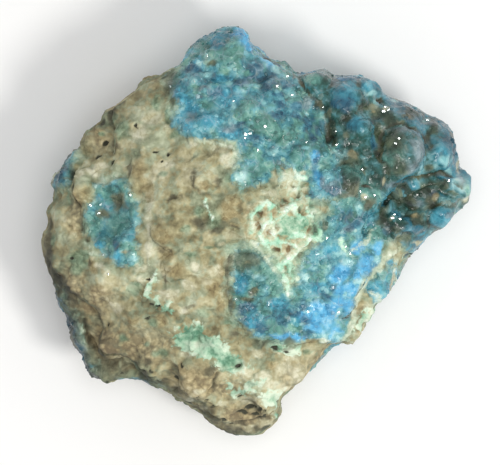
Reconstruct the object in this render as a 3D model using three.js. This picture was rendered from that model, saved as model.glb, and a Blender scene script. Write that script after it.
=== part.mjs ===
// A hand specimen of malachite ore: one lump of limonite matrix, overgrown with a blue-green drusy crust that
// swells into glassy globules on its right wing. Rock and crust grew together, so the specimen is one solid.
//
// Millimetres, +Z up. The specimen lies on its flattest face, at z = 0, with its show face up. X runs along its
// length and Y across it. Bearings are in degrees, anticlockwise from +X as seen from above.
import * as THREE from "three";
import { ImprovedNoise } from "three/addons/math/ImprovedNoise.js";

const faceRings = 29; // rings of triangles from the middle of the show face out to its rim
const flankRings = 9; // and from the rim down to the ground
const rimSharpness = 3.4; // how suddenly the show face rolls over into the flanks
const rimBlur = 0.08; // share of the rim's length over which its corners are blunted away from it
const undercut = 0.16; // how far the flanks draw in before any fracture trims them, against the reach of the rim
const rimLumps = 0.3; // how far the lumps stand out at the rim, against the show face
const flankLumps = 1; // and on the flanks
const rimWave = 2.4; // how far the rim wanders up and down on its way round
const footLift = 2.6; // the foot of the flanks clears the ground by up to this much between its contacts

// The widest line of the lump, seen from above, clockwise from its top.
const outline = [
  [-3.8, 29.5], [-2.2, 29.4], [-1.2, 28.3], [-0.6, 26.4], [1.0, 25.3], [2.4, 24.2], [4.7, 23.9], [5.8, 22.7],
  [8.0, 22.7], [9.6, 23.1], [11.4, 22.1], [13.4, 22.3], [15.4, 22.1], [17.1, 21.1], [19.0, 19.4], [21.3, 18.4],
  [25.1, 16.6], [27.1, 15.6], [28.3, 14.1], [28.7, 12.0], [29.5, 9.0], [30.5, 7.9], [30.8, 6.2], [30.1, 3.8],
  [28.9, 2.8], [27.3, 1.3], [25.0, -0.6], [23.4, -2.0], [21.9, -3.1], [20.7, -3.7], [20.4, -4.9], [20.1, -6.6],
  [19.3, -8.4], [17.4, -10.9], [16.0, -13.3], [15.3, -15.1], [14.0, -16.4], [12.3, -16.0], [10.4, -16.7],
  [9.7, -17.9], [8.1, -19.7], [6.8, -21.7], [5.1, -23.0], [4.1, -23.2], [3.9, -25.0], [4.0, -26.4], [2.9, -27.9],
  [1.1, -29.3], [-0.6, -29.7], [-2.9, -29.3], [-5.1, -28.5], [-7.9, -26.6], [-10.7, -24.5], [-13.9, -22.5],
  [-16.1, -21.4], [-18.0, -21.2], [-19.6, -21.4], [-21.0, -22.2], [-22.3, -21.3], [-23.9, -19.6], [-24.7, -17.4],
  [-25.9, -16.7], [-26.6, -14.6], [-26.9, -12.6], [-28.3, -10.1], [-29.3, -7.6], [-30.3, -4.6], [-30.7, -2.0],
  [-30.5, -0.2], [-29.7, 0.7], [-29.6, 3.0], [-28.7, 5.0], [-29.1, 6.9], [-28.4, 8.4], [-24.6, 13.0],
  [-24.1, 14.4], [-22.3, 15.4], [-21.9, 16.7], [-19.6, 18.7], [-15.1, 21.9], [-13.0, 23.3], [-10.9, 24.0],
  [-10.0, 25.1], [-8.7, 26.9], [-7.1, 28.0], [-4.9, 28.9],
];

// How high the widest line runs above the ground, by bearing.
const rimHeights = [
  [0, 13], [28, 12], [62, 15.5], [98, 13], [130, 16.5], [158, 13.5], [184, 15], [215, 11], [240, 12.5], [268, 10],
  [295, 13.5], [330, 14.5],
];

// Flat breaks that trim the flanks. Each faces along its bearing, meets the ground at foot from the middle, and
// leans outwards from the upright.
const fractures = [
  { bearing: 8, foot: 22, lean: 43 },
  { bearing: 38, foot: 20, lean: 39 },
  { bearing: 66, foot: 17.5, lean: 38 },
  { bearing: 97, foot: 19, lean: 46 },
  { bearing: 128, foot: 22, lean: 21 },
  { bearing: 152, foot: 19.5, lean: 45 },
  { bearing: 183, foot: 23, lean: 31 },
  { bearing: 212, foot: 25, lean: 22 },
  { bearing: 240, foot: 20, lean: 37 },
  { bearing: 264, foot: 18.5, lean: 49 },
  { bearing: 300, foot: 17, lean: 33 },
  { bearing: 330, foot: 16, lean: 32 },
  { bearing: 352, foot: 18, lean: 47 },
  { bearing: 22, foot: 15.5, lean: 68 },
  { bearing: 166, foot: 17.5, lean: 66 },
  { bearing: 280, foot: 13.5, lean: 66 },
];

// Spot heights of the show face: [x, y, height].
const spotHeights = [
  // the matrix ridge that crosses the middle, and its left shoulder
  [-8, 9, 33.5], [-3.7, 4.6, 34.6], [-10.9, 0.3, 34], [-5.9, -2.6, 34.2], [-9.4, -8.3, 33.4], [-3.7, -11, 32],
  [-15, 14.6, 30], [-11, 19, 29.4], [-19.4, 11.7, 28], [-22.3, 9.6, 26.5], [-16, 6, 32],
  // the blue cap and the slope that falls from it to the right
  [-6, 22.4, 28.5], [-3, 26.7, 25], [-0.9, 20.3, 30], [-3.7, 15.3, 32.2], [2, 14.6, 31.5],
  [6.3, 17.4, 29.5], [7.7, 11.7, 30], [3.4, 7.4, 32.8], [9, 6, 30.5], [0.6, 2.4, 34], [6.3, 1, 32.3],
  [6.3, -5.4, 31],
  // the glassy wing
  [12.7, 19.6, 27.5], [15, 14.6, 28], [12.7, 9.6, 28.6], [20.6, 14.6, 26], [20.3, 10.3, 27], [26.3, 11.7, 24],
  [27.7, 6, 22.5], [17, 4.6, 27.2], [22, 3.9, 23.5], [25.6, 1.7, 22], [20, -0.4, 24.5],
  // the blue basin and the pale rim round its right side
  [12, 0.3, 29.4], [13.4, -5.4, 27.6], [9, -9.7, 27.6], [2, -8.3, 29.6], [5, -13.3, 27.6], [-0.9, -12.6, 30.2],
  [12, -13.3, 25.4], [18.4, -4, 26], [17, -9.7, 25], [13.4, -15, 23.5],
  // the left side, round the small blue pocket
  [-21, 2.4, 29.5], [-18, -1.1, 31.6], [-26.6, 2.4, 26.2], [-27.7, -3.3, 26], [-23.7, -4.7, 29], [-19.4, -8.3, 30.6],
  [-15, -9.7, 32.2],
  // the facet that falls away to the lower left
  [-26, -8.3, 25], [-22.3, -12.6, 26], [-19.4, -16.9, 22.5], [-15, -16.1, 27], [-21, -21, 17], [-25, -14.7, 19.5],
  [-13, -20.4, 23.5],
  // the lower end
  [-8, -16.9, 29.5], [-8, -21.9, 25.5], [-3, -19.7, 28], [-3.7, -25.4, 22], [1.3, -24.7, 22], [0.6, -28.3, 18],
  [5, -19.7, 24.5], [7, -17.6, 25],
];
const spotReach = 3.4; // how far a spot height holds before its neighbours take over

// Rounded swellings: globules of the crust, then lumps and knobs of the matrix.
const swellings = [
  { at: [20.3, 10.6], radius: 3.6, rise: 2.8 },
  { at: [12.9, 17.6], radius: 3.2, rise: 1.9 },
  { at: [14.9, 13.9], radius: 2.2, rise: 1.6 },
  { at: [26.2, 10.4], radius: 2.6, rise: 1.8 },
  { at: [26.6, 2.4], radius: 2.7, rise: 2.2 },
  { at: [16.0, 20.0], radius: 2.8, rise: 1.2 },
  { at: [12.4, 6.4], radius: 2.4, rise: 1.2 },
  { at: [16.4, 7.6], radius: 1.9, rise: 1.1 },
  { at: [6.6, 11.4], radius: 2.3, rise: 1.0 },
  { at: [-4.2, 24.6], radius: 3.4, rise: 1.5 },
  { at: [-7.6, 20.4], radius: 2.5, rise: 1.0 },
  { at: [-1.4, 17.4], radius: 2.8, rise: 1.1 },
  { at: [3.4, 20.6], radius: 2.4, rise: 1.0 },
  { at: [8.9, -4.4], radius: 3.0, rise: 0.8 },
  { at: [15.4, -3.0], radius: 2.6, rise: 0.8 },
  { at: [12.0, -9.9], radius: 3.0, rise: 0.9 },
  { at: [-7.3, 6.4], radius: 2.2, rise: 1.0 },
  { at: [-13.4, -1.0], radius: 2.3, rise: 1.1 },
  { at: [-11.6, -5.3], radius: 2.2, rise: 1.0 },
  { at: [-24.4, 6.6], radius: 2.9, rise: 1.8 },
  { at: [-24.6, -2.6], radius: 2.8, rise: 1.2 },
  { at: [-20.6, -7.6], radius: 3.0, rise: 1.1 },
  { at: [-20.3, -16.0], radius: 3.2, rise: 2.6 },
  { at: [-21.1, -20.6], radius: 1.8, rise: 1.8 },
  { at: [-13.6, -17.6], radius: 3.4, rise: 1.4 },
  { at: [-7.6, -19.4], radius: 3.2, rise: 1.3 },
  { at: [5.6, -21.0], radius: 2.8, rise: 1.9 },
  { at: [0.9, -26.6], radius: 3.2, rise: 1.5 },
  { at: [-5.4, -25.4], radius: 3.0, rise: 1.0 },
];

// Bowls sunk into the face.
const hollows = [
  { at: [22.4, 4.2], radius: 3.6, depth: 3.0 },
  { at: [17.2, 1.0], radius: 2.2, depth: 1.3 },
  { at: [11.2, 11.4], radius: 1.9, depth: 1.4 },
  { at: [17.6, 17.2], radius: 2.2, depth: 1.2 },
  { at: [-21.0, 1.6], radius: 4.4, depth: 2.0 },
  { at: [-0.4, -6.0], radius: 2.6, depth: 1.6 },
  { at: [4.2, -12.2], radius: 5.4, depth: 1.2 },
  { at: [-21.6, 12.6], radius: 1.7, depth: 1.7 },
  { at: [-11.6, -20.2], radius: 1.8, depth: 1.5 },
  { at: [-2.9, -18.8], radius: 1.5, depth: 1.4 },
  { at: [-0.6, -25.4], radius: 1.7, depth: 1.5 },
];

// Clefts along a line, where one lump overrides the next.
const clefts = [
  { along: [[5.2, 23.4], [7.2, 20], [9.0, 17.6], [10.8, 15], [11.4, 12.6]], width: 0.9, depth: 1.9 },
  { along: [[-22.4, 13.6], [-25.4, 10], [-27.0, 6.6], [-26.4, 3]], width: 0.8, depth: 2.0 },
  { along: [[-24.2, -11.2], [-23.6, -14.4], [-22.2, -18.2], [-19.8, -19.6], [-18, -20.6]], width: 0.9, depth: 2.8 },
  { along: [[-18.6, -18.6], [-16.6, -20.6]], width: 0.8, depth: 1.6 },
  { along: [[18.6, 2.6], [20.6, 4.6], [23.4, 6.2], [27.4, 5.6]], width: 0.8, depth: 1.4 },
  { along: [[2.4, -16.2], [6.4, -17.2], [9.2, -18.2]], width: 0.8, depth: 1.3 },
  { along: [[-3.0, 0], [-2.4, -8], [-3.2, -13], [1.6, -16.2]], width: 1.0, depth: 0.9 },
  { along: [[16.8, 0.2], [17.4, -4.6], [15.4, -8.6], [13.6, -13.4]], width: 0.8, depth: 1.1 },
];

// Lumpy relief in octaves: the size of the lumps and how far they stand out.
const lumps = [
  { size: 9, height: 1.5 },
  { size: 4.2, height: 0.8 },
  { size: 2.3, height: 0.35 },
];

const heart = new THREE.Vector3(0, 0, 8);
const noise = new ImprovedNoise();
const toRadians = THREE.MathUtils.degToRad;
const smooth = (low, high, x) => THREE.MathUtils.smoothstep(x, low, high);

function lumpsAt(point) {
  return lumps.reduce((sum, { size, height }) => {
    const swell = noise.noise(point.x / size + size, point.y / size, point.z / size);
    return sum + height * (Math.abs(swell) * 2 - 0.4);
  }, 0);
}

// Points along the rim at even steps, anticlockwise, and the same line with its corners blunted.
const rimSteps = faceRings * 6;
const finePerStep = 4;
const rimLine = makeRimLine();
const bluntLine = blunted(rimLine);

function makeRimLine() {
  const corners = [...outline].reverse().map(([x, y]) => new THREE.Vector3(x, y, 0));
  const curve = new THREE.CatmullRomCurve3(corners, true, "centripetal");
  curve.arcLengthDivisions = 2000;
  return curve.getSpacedPoints(rimSteps * finePerStep).slice(0, -1);
}

function blunted(line) {
  const spread = Math.round(line.length * rimBlur);
  return line.map((_, i) => {
    const sum = new THREE.Vector3();
    let weights = 0;
    for (let step = -spread; step <= spread; step++) {
      const weight = 1 + Math.cos((Math.PI * step) / (spread + 1));
      sum.addScaledVector(line[(i + step + line.length) % line.length], weight);
      weights += weight;
    }
    return sum.divideScalar(weights);
  });
}

// The point of a closed line at a share of the way round it.
function pointAlong(line, share) {
  const place = (share % 1) * line.length;
  const index = Math.floor(place);
  return line[index].clone().lerp(line[(index + 1) % line.length], place - index);
}

const bearingOf = ({ x, y }) => (THREE.MathUtils.radToDeg(Math.atan2(y, x)) + 360) % 360;

// The rim's height at a bearing, eased from one entry of the table to the next.
function rimHeightAt(bearing) {
  const index = rimHeights.findLastIndex(([mark]) => mark <= bearing);
  const [from, fromHeight] = rimHeights[index];
  const [to, toHeight] = rimHeights[(index + 1) % rimHeights.length];
  const along = (bearing - from) / ((to - from + 360) % 360);
  return THREE.MathUtils.lerp(fromHeight, toHeight, smooth(0, 1, along));
}

function faceHeight(x, y) {
  let height = 0;
  let weights = 0;
  for (const [spotX, spotY, spotHeight] of spotHeights) {
    const distance = Math.hypot(x - spotX, y - spotY);
    const weight = Math.exp(-((distance / spotReach) ** 2) / 2) + 1e-6 / (1 + distance);
    height += weight * spotHeight;
    weights += weight;
  }
  return height / weights;
}

function distanceToLine(x, y, points) {
  let nearest = Infinity;
  for (let i = 1; i < points.length; i++) {
    const [ax, ay] = points[i - 1];
    const [bx, by] = points[i];
    const length = (bx - ax) ** 2 + (by - ay) ** 2;
    const along = THREE.MathUtils.clamp(((x - ax) * (bx - ax) + (y - ay) * (by - ay)) / length, 0, 1);
    nearest = Math.min(nearest, Math.hypot(x - ax - along * (bx - ax), y - ay - along * (by - ay)));
  }
  return nearest;
}

function reliefAt(x, y) {
  let relief = 0;
  for (const { at, radius, rise } of swellings) {
    const away = Math.hypot(x - at[0], y - at[1]) / radius;
    if (away < 1) relief += rise * (1 - away * away);
  }
  for (const { at, radius, depth } of hollows) {
    const away = Math.hypot(x - at[0], y - at[1]) / radius;
    if (away < 1) relief -= depth * (1 - away * away) ** 1.5;
  }
  for (const { along, width, depth } of clefts) {
    relief -= depth * Math.exp(-((distanceToLine(x, y, along) / width) ** 2));
  }
  return relief;
}

// The point of the show face at a share of the way round and a share of the way out from the middle. Its relief
// stands out from the heart of the lump, and weakens at the rim.
function pointOfFace(round, out) {
  const point = pointAlong(bluntLine, round).lerp(pointAlong(rimLine, round), out ** 8).multiplyScalar(out);
  const rimHeight = rimHeightAt(bearingOf(point)) + rimWave * noise.noise(point.x / 5, point.y / 5, 8.3);
  const rounding = (1 - out ** rimSharpness) ** (1 / rimSharpness);
  point.z = rimHeight + Math.max(0, faceHeight(point.x, point.y) - rimHeight) * rounding;
  const inner = 1 - out ** 12;
  const relief = reliefAt(point.x, point.y) * inner + lumpsAt(point) * THREE.MathUtils.lerp(rimLumps, 1, inner);
  return point.addScaledVector(point.clone().sub(heart).normalize(), relief - rimLumps * 0.4);
}

// The point of the flank at a share of the way round and a share of the way down from the rim to the ground.
function pointOfFlank(round, down) {
  const rimPoint = pointOfFace(round, 1);
  const lift = footLift * smooth(0.1, 0.6, noise.noise(rimPoint.x / 7, rimPoint.y / 7, 3.7));
  const point = rimPoint.clone().lerp(pointAlong(bluntLine, round), smooth(0, 0.6, down));
  point.multiplyScalar(1 - undercut * (1 - Math.sqrt(1 - down * down)));
  point.z = THREE.MathUtils.lerp(rimPoint.z, lift, down);
  const outwards = point.clone().setZ(0).normalize();
  for (const fracture of fractures) {
    const facing = new THREE.Vector3(Math.cos(toRadians(fracture.bearing)), Math.sin(toRadians(fracture.bearing)), 0);
    const past = point.dot(facing) - fracture.foot - point.z * Math.tan(toRadians(fracture.lean));
    if (past > 0) point.addScaledVector(facing, -past * smooth(0, 0.35, down));
  }
  return point.addScaledVector(outwards, (lumpsAt(point) - 0.4) * flankLumps * smooth(0, 0.2, down));
}

function makeSpecimen() {
  const points = [new THREE.Vector3(0, 0, pointOfFace(0, 0).z)];
  const triangles = [];

  // the show face: each ring has six more points than the one inside it
  const firstOf = (ring) => (ring ? 1 + 3 * ring * (ring - 1) : 0);
  for (let ring = 1; ring <= faceRings; ring++) {
    const out = Math.sin((Math.PI / 2) * (ring / faceRings));
    for (let i = 0; i < ring * 6; i++) points.push(pointOfFace(i / (ring * 6), out));
    const onRing = (i) => firstOf(ring) + (i % (ring * 6));
    const inside = (i) => firstOf(ring - 1) + (ring > 1 ? i % (ring * 6 - 6) : 0);
    for (let sector = 0; sector < 6; sector++) {
      for (let i = 0; i < ring; i++) {
        const outer = sector * ring + i;
        const inner = sector * (ring - 1) + i;
        triangles.push(onRing(outer), onRing(outer + 1), inside(inner));
        if (i < ring - 1) triangles.push(inside(inner), onRing(outer + 1), inside(inner + 1));
      }
    }
  }

  // the flanks, then the flat base that closes them
  for (let ring = 1; ring <= flankRings; ring++) {
    const above = firstOf(faceRings) + (ring - 1) * rimSteps;
    for (let i = 0; i < rimSteps; i++) {
      const next = (i + 1) % rimSteps;
      points.push(pointOfFlank(i / rimSteps, ring / flankRings));
      triangles.push(above + i, above + rimSteps + i, above + next);
      triangles.push(above + next, above + rimSteps + i, above + rimSteps + next);
    }
  }
  const foot = points.length - rimSteps;
  const base = points.length;
  for (let i = 0; i < rimSteps; i++) {
    const next = (i + 1) % rimSteps;
    points.push(points[foot + i].clone().multiplyScalar(0.82).setZ(0));
    triangles.push(foot + i, base + i, foot + next, foot + next, base + i, base + next);
    triangles.push(base + i, base + rimSteps, base + next);
  }
  points.push(new THREE.Vector3(0, 0, 0));

  const geometry = new THREE.BufferGeometry().setFromPoints(points).setIndex(triangles);
  geometry.computeBoundingBox();
  const middle = geometry.boundingBox.getCenter(new THREE.Vector3());
  geometry.translate(-middle.x, -middle.y, 0);
  geometry.computeVertexNormals();
  const stone = new THREE.MeshStandardMaterial({ color: 0x7f9a86, roughness: 0.75, metalness: 0 });
  const mesh = new THREE.Mesh(geometry, stone);
  mesh.name = "malachite_specimen";
  return mesh;
}

const specimen = new THREE.Group();
specimen.add(makeSpecimen());

export default specimen;
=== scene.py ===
import math
import random

import bmesh
import bpy
import numpy as np
from mathutils import Matrix, Vector, noise
from mathutils.bvhtree import BVHTree


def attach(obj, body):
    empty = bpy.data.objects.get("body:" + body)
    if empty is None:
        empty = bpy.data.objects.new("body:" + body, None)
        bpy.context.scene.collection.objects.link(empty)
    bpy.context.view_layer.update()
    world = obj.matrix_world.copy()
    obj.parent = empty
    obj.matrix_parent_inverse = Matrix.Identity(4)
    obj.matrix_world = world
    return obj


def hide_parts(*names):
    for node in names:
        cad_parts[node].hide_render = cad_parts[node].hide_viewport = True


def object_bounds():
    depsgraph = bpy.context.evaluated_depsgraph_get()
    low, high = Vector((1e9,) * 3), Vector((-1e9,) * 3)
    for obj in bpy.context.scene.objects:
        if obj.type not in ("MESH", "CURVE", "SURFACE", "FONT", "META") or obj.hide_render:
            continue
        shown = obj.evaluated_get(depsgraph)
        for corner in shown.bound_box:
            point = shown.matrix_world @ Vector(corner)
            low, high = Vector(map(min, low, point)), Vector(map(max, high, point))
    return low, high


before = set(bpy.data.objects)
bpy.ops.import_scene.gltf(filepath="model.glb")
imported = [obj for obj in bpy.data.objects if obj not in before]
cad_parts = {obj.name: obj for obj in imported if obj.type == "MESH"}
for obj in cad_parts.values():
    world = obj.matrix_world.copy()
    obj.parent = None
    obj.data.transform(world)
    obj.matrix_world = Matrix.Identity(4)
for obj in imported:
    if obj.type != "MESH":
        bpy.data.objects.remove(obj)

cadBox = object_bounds()
mm = 0.001
noise.seed_set(4)    # gives noise_vector the same offsets in each run


def hexColour(text):
    # an sRGB hex value as linear colour
    channels = [int(text[i:i + 2], 16) / 255 for i in (1, 3, 5)]
    return [c / 12.92 if c <= 0.04045 else ((c + 0.055) / 1.055) ** 2.4 for c in channels] + [1.0]


def addNode(tree, kind, inputs=None, stops=None, **settings):
    # one node with its settings, its links or socket values, and the stops of its colour ramp
    node = tree.nodes.new(kind)
    for name, value in settings.items():
        setattr(node, name, value)
    if stops:
        ramp = node.color_ramp.elements
        ramp[0].position, ramp[1].position = stops[0][0], stops[-1][0]
        for place, _ in stops[1:-1]:
            ramp.new(place)
        for element, (_, colour) in zip(ramp, stops):
            element.color = hexColour(colour)
    for socket, value in (inputs or {}).items():
        if isinstance(value, bpy.types.NodeSocket):
            tree.links.new(value, node.inputs[socket])
        else:
            node.inputs[socket].default_value = value
    return node


def smoothStep(low, high, value):
    share = np.clip((value - low) / (high - low), 0, 1)
    return share * share * (3 - 2 * share)


def noiseAt(points, size, shift=0.0):
    # smooth noise from about -1 to 1, whose lumps are about this size in millimetres
    return np.array([noise.noise(place) for place in (points / size + shift).tolist()])


def wanderAt(points, size, reach, shift=0.0):
    # the same as a displacement that reaches about this far
    return np.array([noise.noise_vector(place) for place in (points / size + shift).tolist()]) * reach


def cellsAt(points, size, shift=0.0):
    # distance to the nearest and the second nearest cell middle, in cells
    return np.array([noise.voronoi(place)[0][:2] for place in (points / size + shift).tolist()]).T


def depthInside(outline, x, y):
    # how far inside a closed outline, negative outside
    corners = np.array(outline)
    nearest = -depthInStroke(list(outline) + [outline[0]], 0, x, y)
    inside = np.zeros(x.shape, bool)
    for (ax, ay), (bx, by) in zip(corners, np.roll(corners, -1, axis=0)):
        if ay != by:
            inside ^= ((ay > y) != (by > y)) & (x < ax + (y - ay) * (bx - ax) / (by - ay))
    return np.where(inside, nearest, -nearest)


def depthInStroke(line, width, x, y):
    # how far inside a stroke of this width drawn along a line, negative outside
    nearest = np.full(x.shape, np.inf)
    for (ax, ay), (bx, by) in zip(line, line[1:]):
        acrossX, acrossY = bx - ax, by - ay
        along = ((x - ax) * acrossX + (y - ay) * acrossY) / (acrossX ** 2 + acrossY ** 2)
        along = np.clip(along, 0, 1)
        nearest = np.minimum(nearest, np.hypot(x - ax - along * acrossX, y - ay - along * acrossY))
    return width / 2 - nearest


def spotsAt(spots, x, y, core=0.2, reach=1.3):
    # 1 in the middle of each spot, falling to 0 at its edge; a spot is x, y, radius across, radius up
    strength = np.zeros(x.shape)
    for spotX, spotY, across, up in spots:
        away = np.hypot((x - spotX) / across, (y - spotY) / up)
        strength = np.maximum(strength, 1 - smoothStep(core, reach, away))
    return strength


# where each mineral lies on the show face, as closed outlines of x and y
zones = {
    "crust": [
        (-10.7, 24.1), (-12.3, 27.4), (-9.4, 32.0), (-2.3, 32.7), (2.3, 29.1), (6.3, 26.7), (15.6, 25.3),
        (24.1, 21.0), (32.7, 16.0), (33.7, 7.4), (32.3, 1.4), (26.3, -2.9), (22.4, -4.3), (20.4, -1.1),
        (19.0, -1.6), (18.1, -2.6), (17.9, -4.3), (17.1, -5.1), (15.6, -6.4), (14.6, -8.0), (13.9, -10.4),
        (13.3, -12.6), (13.0, -14.3), (12.0, -15.7), (10.6, -15.9), (9.4, -15.0), (7.3, -15.3), (5.6, -15.7),
        (3.6, -16.0), (1.3, -15.6), (-0.9, -14.1), (-2.7, -12.6), (-3.4, -9.7), (-3.4, -6.9), (-3.3, -4.3),
        (-3.1, -2.6), (-1.9, -2.0), (-0.6, -2.7), (1.4, -1.1), (2.9, 2.4), (3.9, 5.7), (3.3, 8.7), (1.7, 7.3),
        (0.0, 6.3), (-2.1, 5.9), (-3.4, 7.4), (-2.4, 10.3), (-2.9, 12.3), (-4.9, 12.6), (-7.0, 12.6),
        (-9.3, 13.0), (-10.6, 13.9), (-11.6, 15.0), (-11.9, 16.6), (-11.1, 18.4), (-12.3, 20.0),
        (-12.6, 22.0), (-11.6, 23.0),
    ],
    "pocket": [
        (-22.8, 6.5), (-21.4, 6.9), (-20.0, 7.7), (-18.6, 7.3), (-17.7, 5.7), (-16.7, 4.6), (-16.5, 2.9),
        (-16.4, 1.6), (-16.8, -0.3), (-17.0, -1.7), (-16.6, -3.9), (-17.2, -5.1), (-19.0, -5.2),
        (-20.6, -4.0), (-22.2, -3.0), (-22.9, -1.4), (-23.6, 0.6), (-24.2, 2.4), (-23.5, 3.7), (-22.3, 5.0),
        (-22.6, 5.9),
    ],
    "leftStrip": [
        (-25.0, 11.4), (-25.9, 9.9), (-26.4, 8.1), (-27.1, 6.6), (-29.6, 6.0), (-30.6, 7.1), (-28.3, 11.0),
        (-26.1, 12.4),
    ],
    "lowerLeftEdge": [
        (-30.7, -6.5), (-29.0, -8.4), (-27.4, -10.7), (-26.2, -13.3), (-24.9, -16.1), (-24.0, -17.8),
        (-22.8, -19.6), (-22.2, -21.1), (-24.0, -23.6), (-28.3, -18.6), (-31.9, -9.7),
    ],
    "lowerEdge": [
        (-19.6, -21.1), (-15.5, -21.6), (-13.4, -23.4), (-11.4, -25.6), (-14.3, -28.6), (-19.7, -23.4),
    ],
    "rightEdge": [
        (15.7, -6.0), (17.2, -4.6), (18.8, -4.2), (20.2, -5.2), (20.8, -7.2), (20.2, -9.4), (18.2, -10.3),
        (16.4, -10.1), (15.5, -8.3),
    ],
}
wingOutline = [
    (4.6, 24.6), (5.8, 22.0), (7.4, 20.0), (8.6, 18.0), (9.8, 16.0), (10.0, 12.6), (12.4, 11.6), (11.2, 9.0),
    (13.0, 6.0), (15.0, 4.0), (16.8, 2.0), (17.6, -0.2), (19.6, -2.0), (22.0, -4.4), (34.0, 0.0),
    (34.0, 16.0), (24.0, 22.0), (14.0, 26.0),
]
malachite = {
    "lichen": [
        (-12.0, -14.6), (-10.6, -13.6), (-8.4, -13.0), (-6.4, -14.1), (-4.6, -15.3), (-3.6, -16.7),
        (-2.2, -17.9), (-0.6, -18.9), (-1.6, -19.6), (-3.9, -20.4), (-5.4, -19.0), (-7.3, -18.0),
        (-9.6, -17.0), (-11.6, -16.3),
    ],
    "strip": [
        (-4.4, -21.6), (-2.4, -22.2), (-0.4, -21.0), (1.6, -20.6), (0.9, -22.2), (-1.0, -23.4), (-3.4, -23.6),
    ],
    "toe": [(0.4, -23.4), (2.0, -22.0), (3.9, -22.6), (4.1, -25.0), (3.0, -26.6), (2.3, -25.3), (1.0, -24.6)],
    "patch": [
        (-16.2, -8.9), (-15.8, -7.6), (-14.9, -6.0), (-14.2, -5.2), (-13.9, -6.8), (-14.6, -8.3),
        (-15.4, -9.3),
    ],
    "band": [(-15.0, -9.4), (-13.7, -9.3), (-12.2, -10.1), (-11.3, -11.2), (-12.6, -11.4), (-14.2, -10.9)],
    "lip": [(2.4, -16.0), (4.1, -15.9), (5.9, -16.3), (6.4, -16.9), (5.4, -17.5), (4.4, -17.4), (3.2, -17.2)],
    "netMiddle": [(2.4, 1.2), (4.4, 2.5), (6.0, 2.4), (7.6, 1.8), (7.6, 0.2), (5.4, -0.9), (3.4, -0.8)],
    "ledge": [
        (13.8, -13.9), (15.0, -11.8), (16.2, -10.6), (17.8, -9.8), (18.6, -9.2), (18.4, -10.8), (16.8, -12.4),
        (15.2, -14.6),
    ],
    "netFoot": [(3.8, -4.4), (5.3, -3.4), (5.6, -5.0), (5.5, -6.8), (4.8, -7.6), (4.4, -6.0)],
}
# where pale malachite walls stand between brown hollows
boxwork = [
    (3.6, 9.6), (4.9, 8.6), (6.6, 7.7), (7.3, 7.7), (7.3, 5.1), (8.1, 4.4), (8.7, 2.9), (8.9, 1.0),
    (9.0, -1.1), (8.6, -2.1), (7.1, -2.7), (6.3, -4.3), (5.7, -6.1), (5.3, -8.3), (4.7, -9.6), (4.0, -8.3),
    (3.6, -6.4), (2.9, -5.1), (1.7, -3.7), (0.6, -2.4), (-0.6, -1.3), (-1.3, 0.0), (-1.6, 1.6), (-0.9, 3.3),
    (0.3, 4.1), (1.7, 4.6), (3.0, 5.4),
]
# the malachite's branching net, as strokes: a width and the line that it follows
net = [
    (0.6, [(1.5, 4.4), (0.4, 3.4), (-0.4, 2.3), (-0.6, 1.1), (-0.5, 0.0)]),
    (0.6, [(1.8, 4.1), (2.8, 3.5), (3.8, 2.9), (4.7, 3.3), (5.5, 4.0)]),
    (0.7, [(1.9, 3.9), (2.0, 2.6), (2.0, 1.7), (1.3, 1.0)]),
    (0.5, [(4.7, 3.0), (3.6, 2.3), (2.4, 1.3), (1.4, 0.9)]),
    (0.4, [(2.5, 1.1), (2.6, -0.2), (3.0, -1.5)]),
    (0.7, [(1.3, 1.0), (0.7, -0.2), (1.1, -1.3), (1.7, -2.5)]),
    (0.6, [(1.1, -1.3), (2.1, -1.7), (3.2, -1.5), (4.1, -1.3), (5.1, -1.5), (6.0, -2.3)]),
    (0.35, [(3.4, -1.6), (3.5, -3.2)]),
    (0.6, [(5.5, 4.0), (5.7, 2.3), (6.8, 1.9), (7.4, 2.3), (8.0, 1.9)]),
    (0.3, [(8.0, 1.9), (8.8, 0.6), (8.9, -1.2)]),
    (0.35, [(7.4, 4.6), (7.2, 2.3)]),
    (0.6, [(9.0, -1.2), (7.8, -1.1), (6.2, -2.1), (5.5, -3.2), (3.8, -4.4), (3.2, -4.8)]),
    (0.6, [(3.2, -4.8), (3.9, -5.9), (4.5, -7.4), (4.7, -9.0)]),
    (0.3, [(4.7, -4.0), (4.8, -5.5), (5.1, -6.7), (4.6, -7.6)]),
    (0.3, [(5.9, 8.4), (5.9, 6.3), (5.3, 5.7), (5.0, 5.0), (5.5, 4.0)]),
    (0.3, [(3.5, 10.5), (4.6, 9.3), (5.4, 8.3), (6.0, 7.7), (7.0, 7.8)]),
    (0.25, [(5.9, 6.3), (6.4, 5.9), (6.4, 5.0), (5.7, 4.1)]),
    (0.4, [(5.0, -0.4), (5.9, -0.2), (6.9, -0.7)]),
    (0.5, [(-7.0, 4.4), (-7.0, 3.2), (-6.4, 2.2), (-6.2, 1.4)]),
    (0.35, [(11.8, -1.1), (12.2, -2.1), (12.7, -3.0), (13.9, -3.3)]),
    (0.25, [(12.2, -2.1), (13.0, -2.6), (14.2, -2.3)]),
    (0.3, [(-15.4, -7.6), (-14.8, -6.4), (-14.0, -5.4)]),
]
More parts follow.
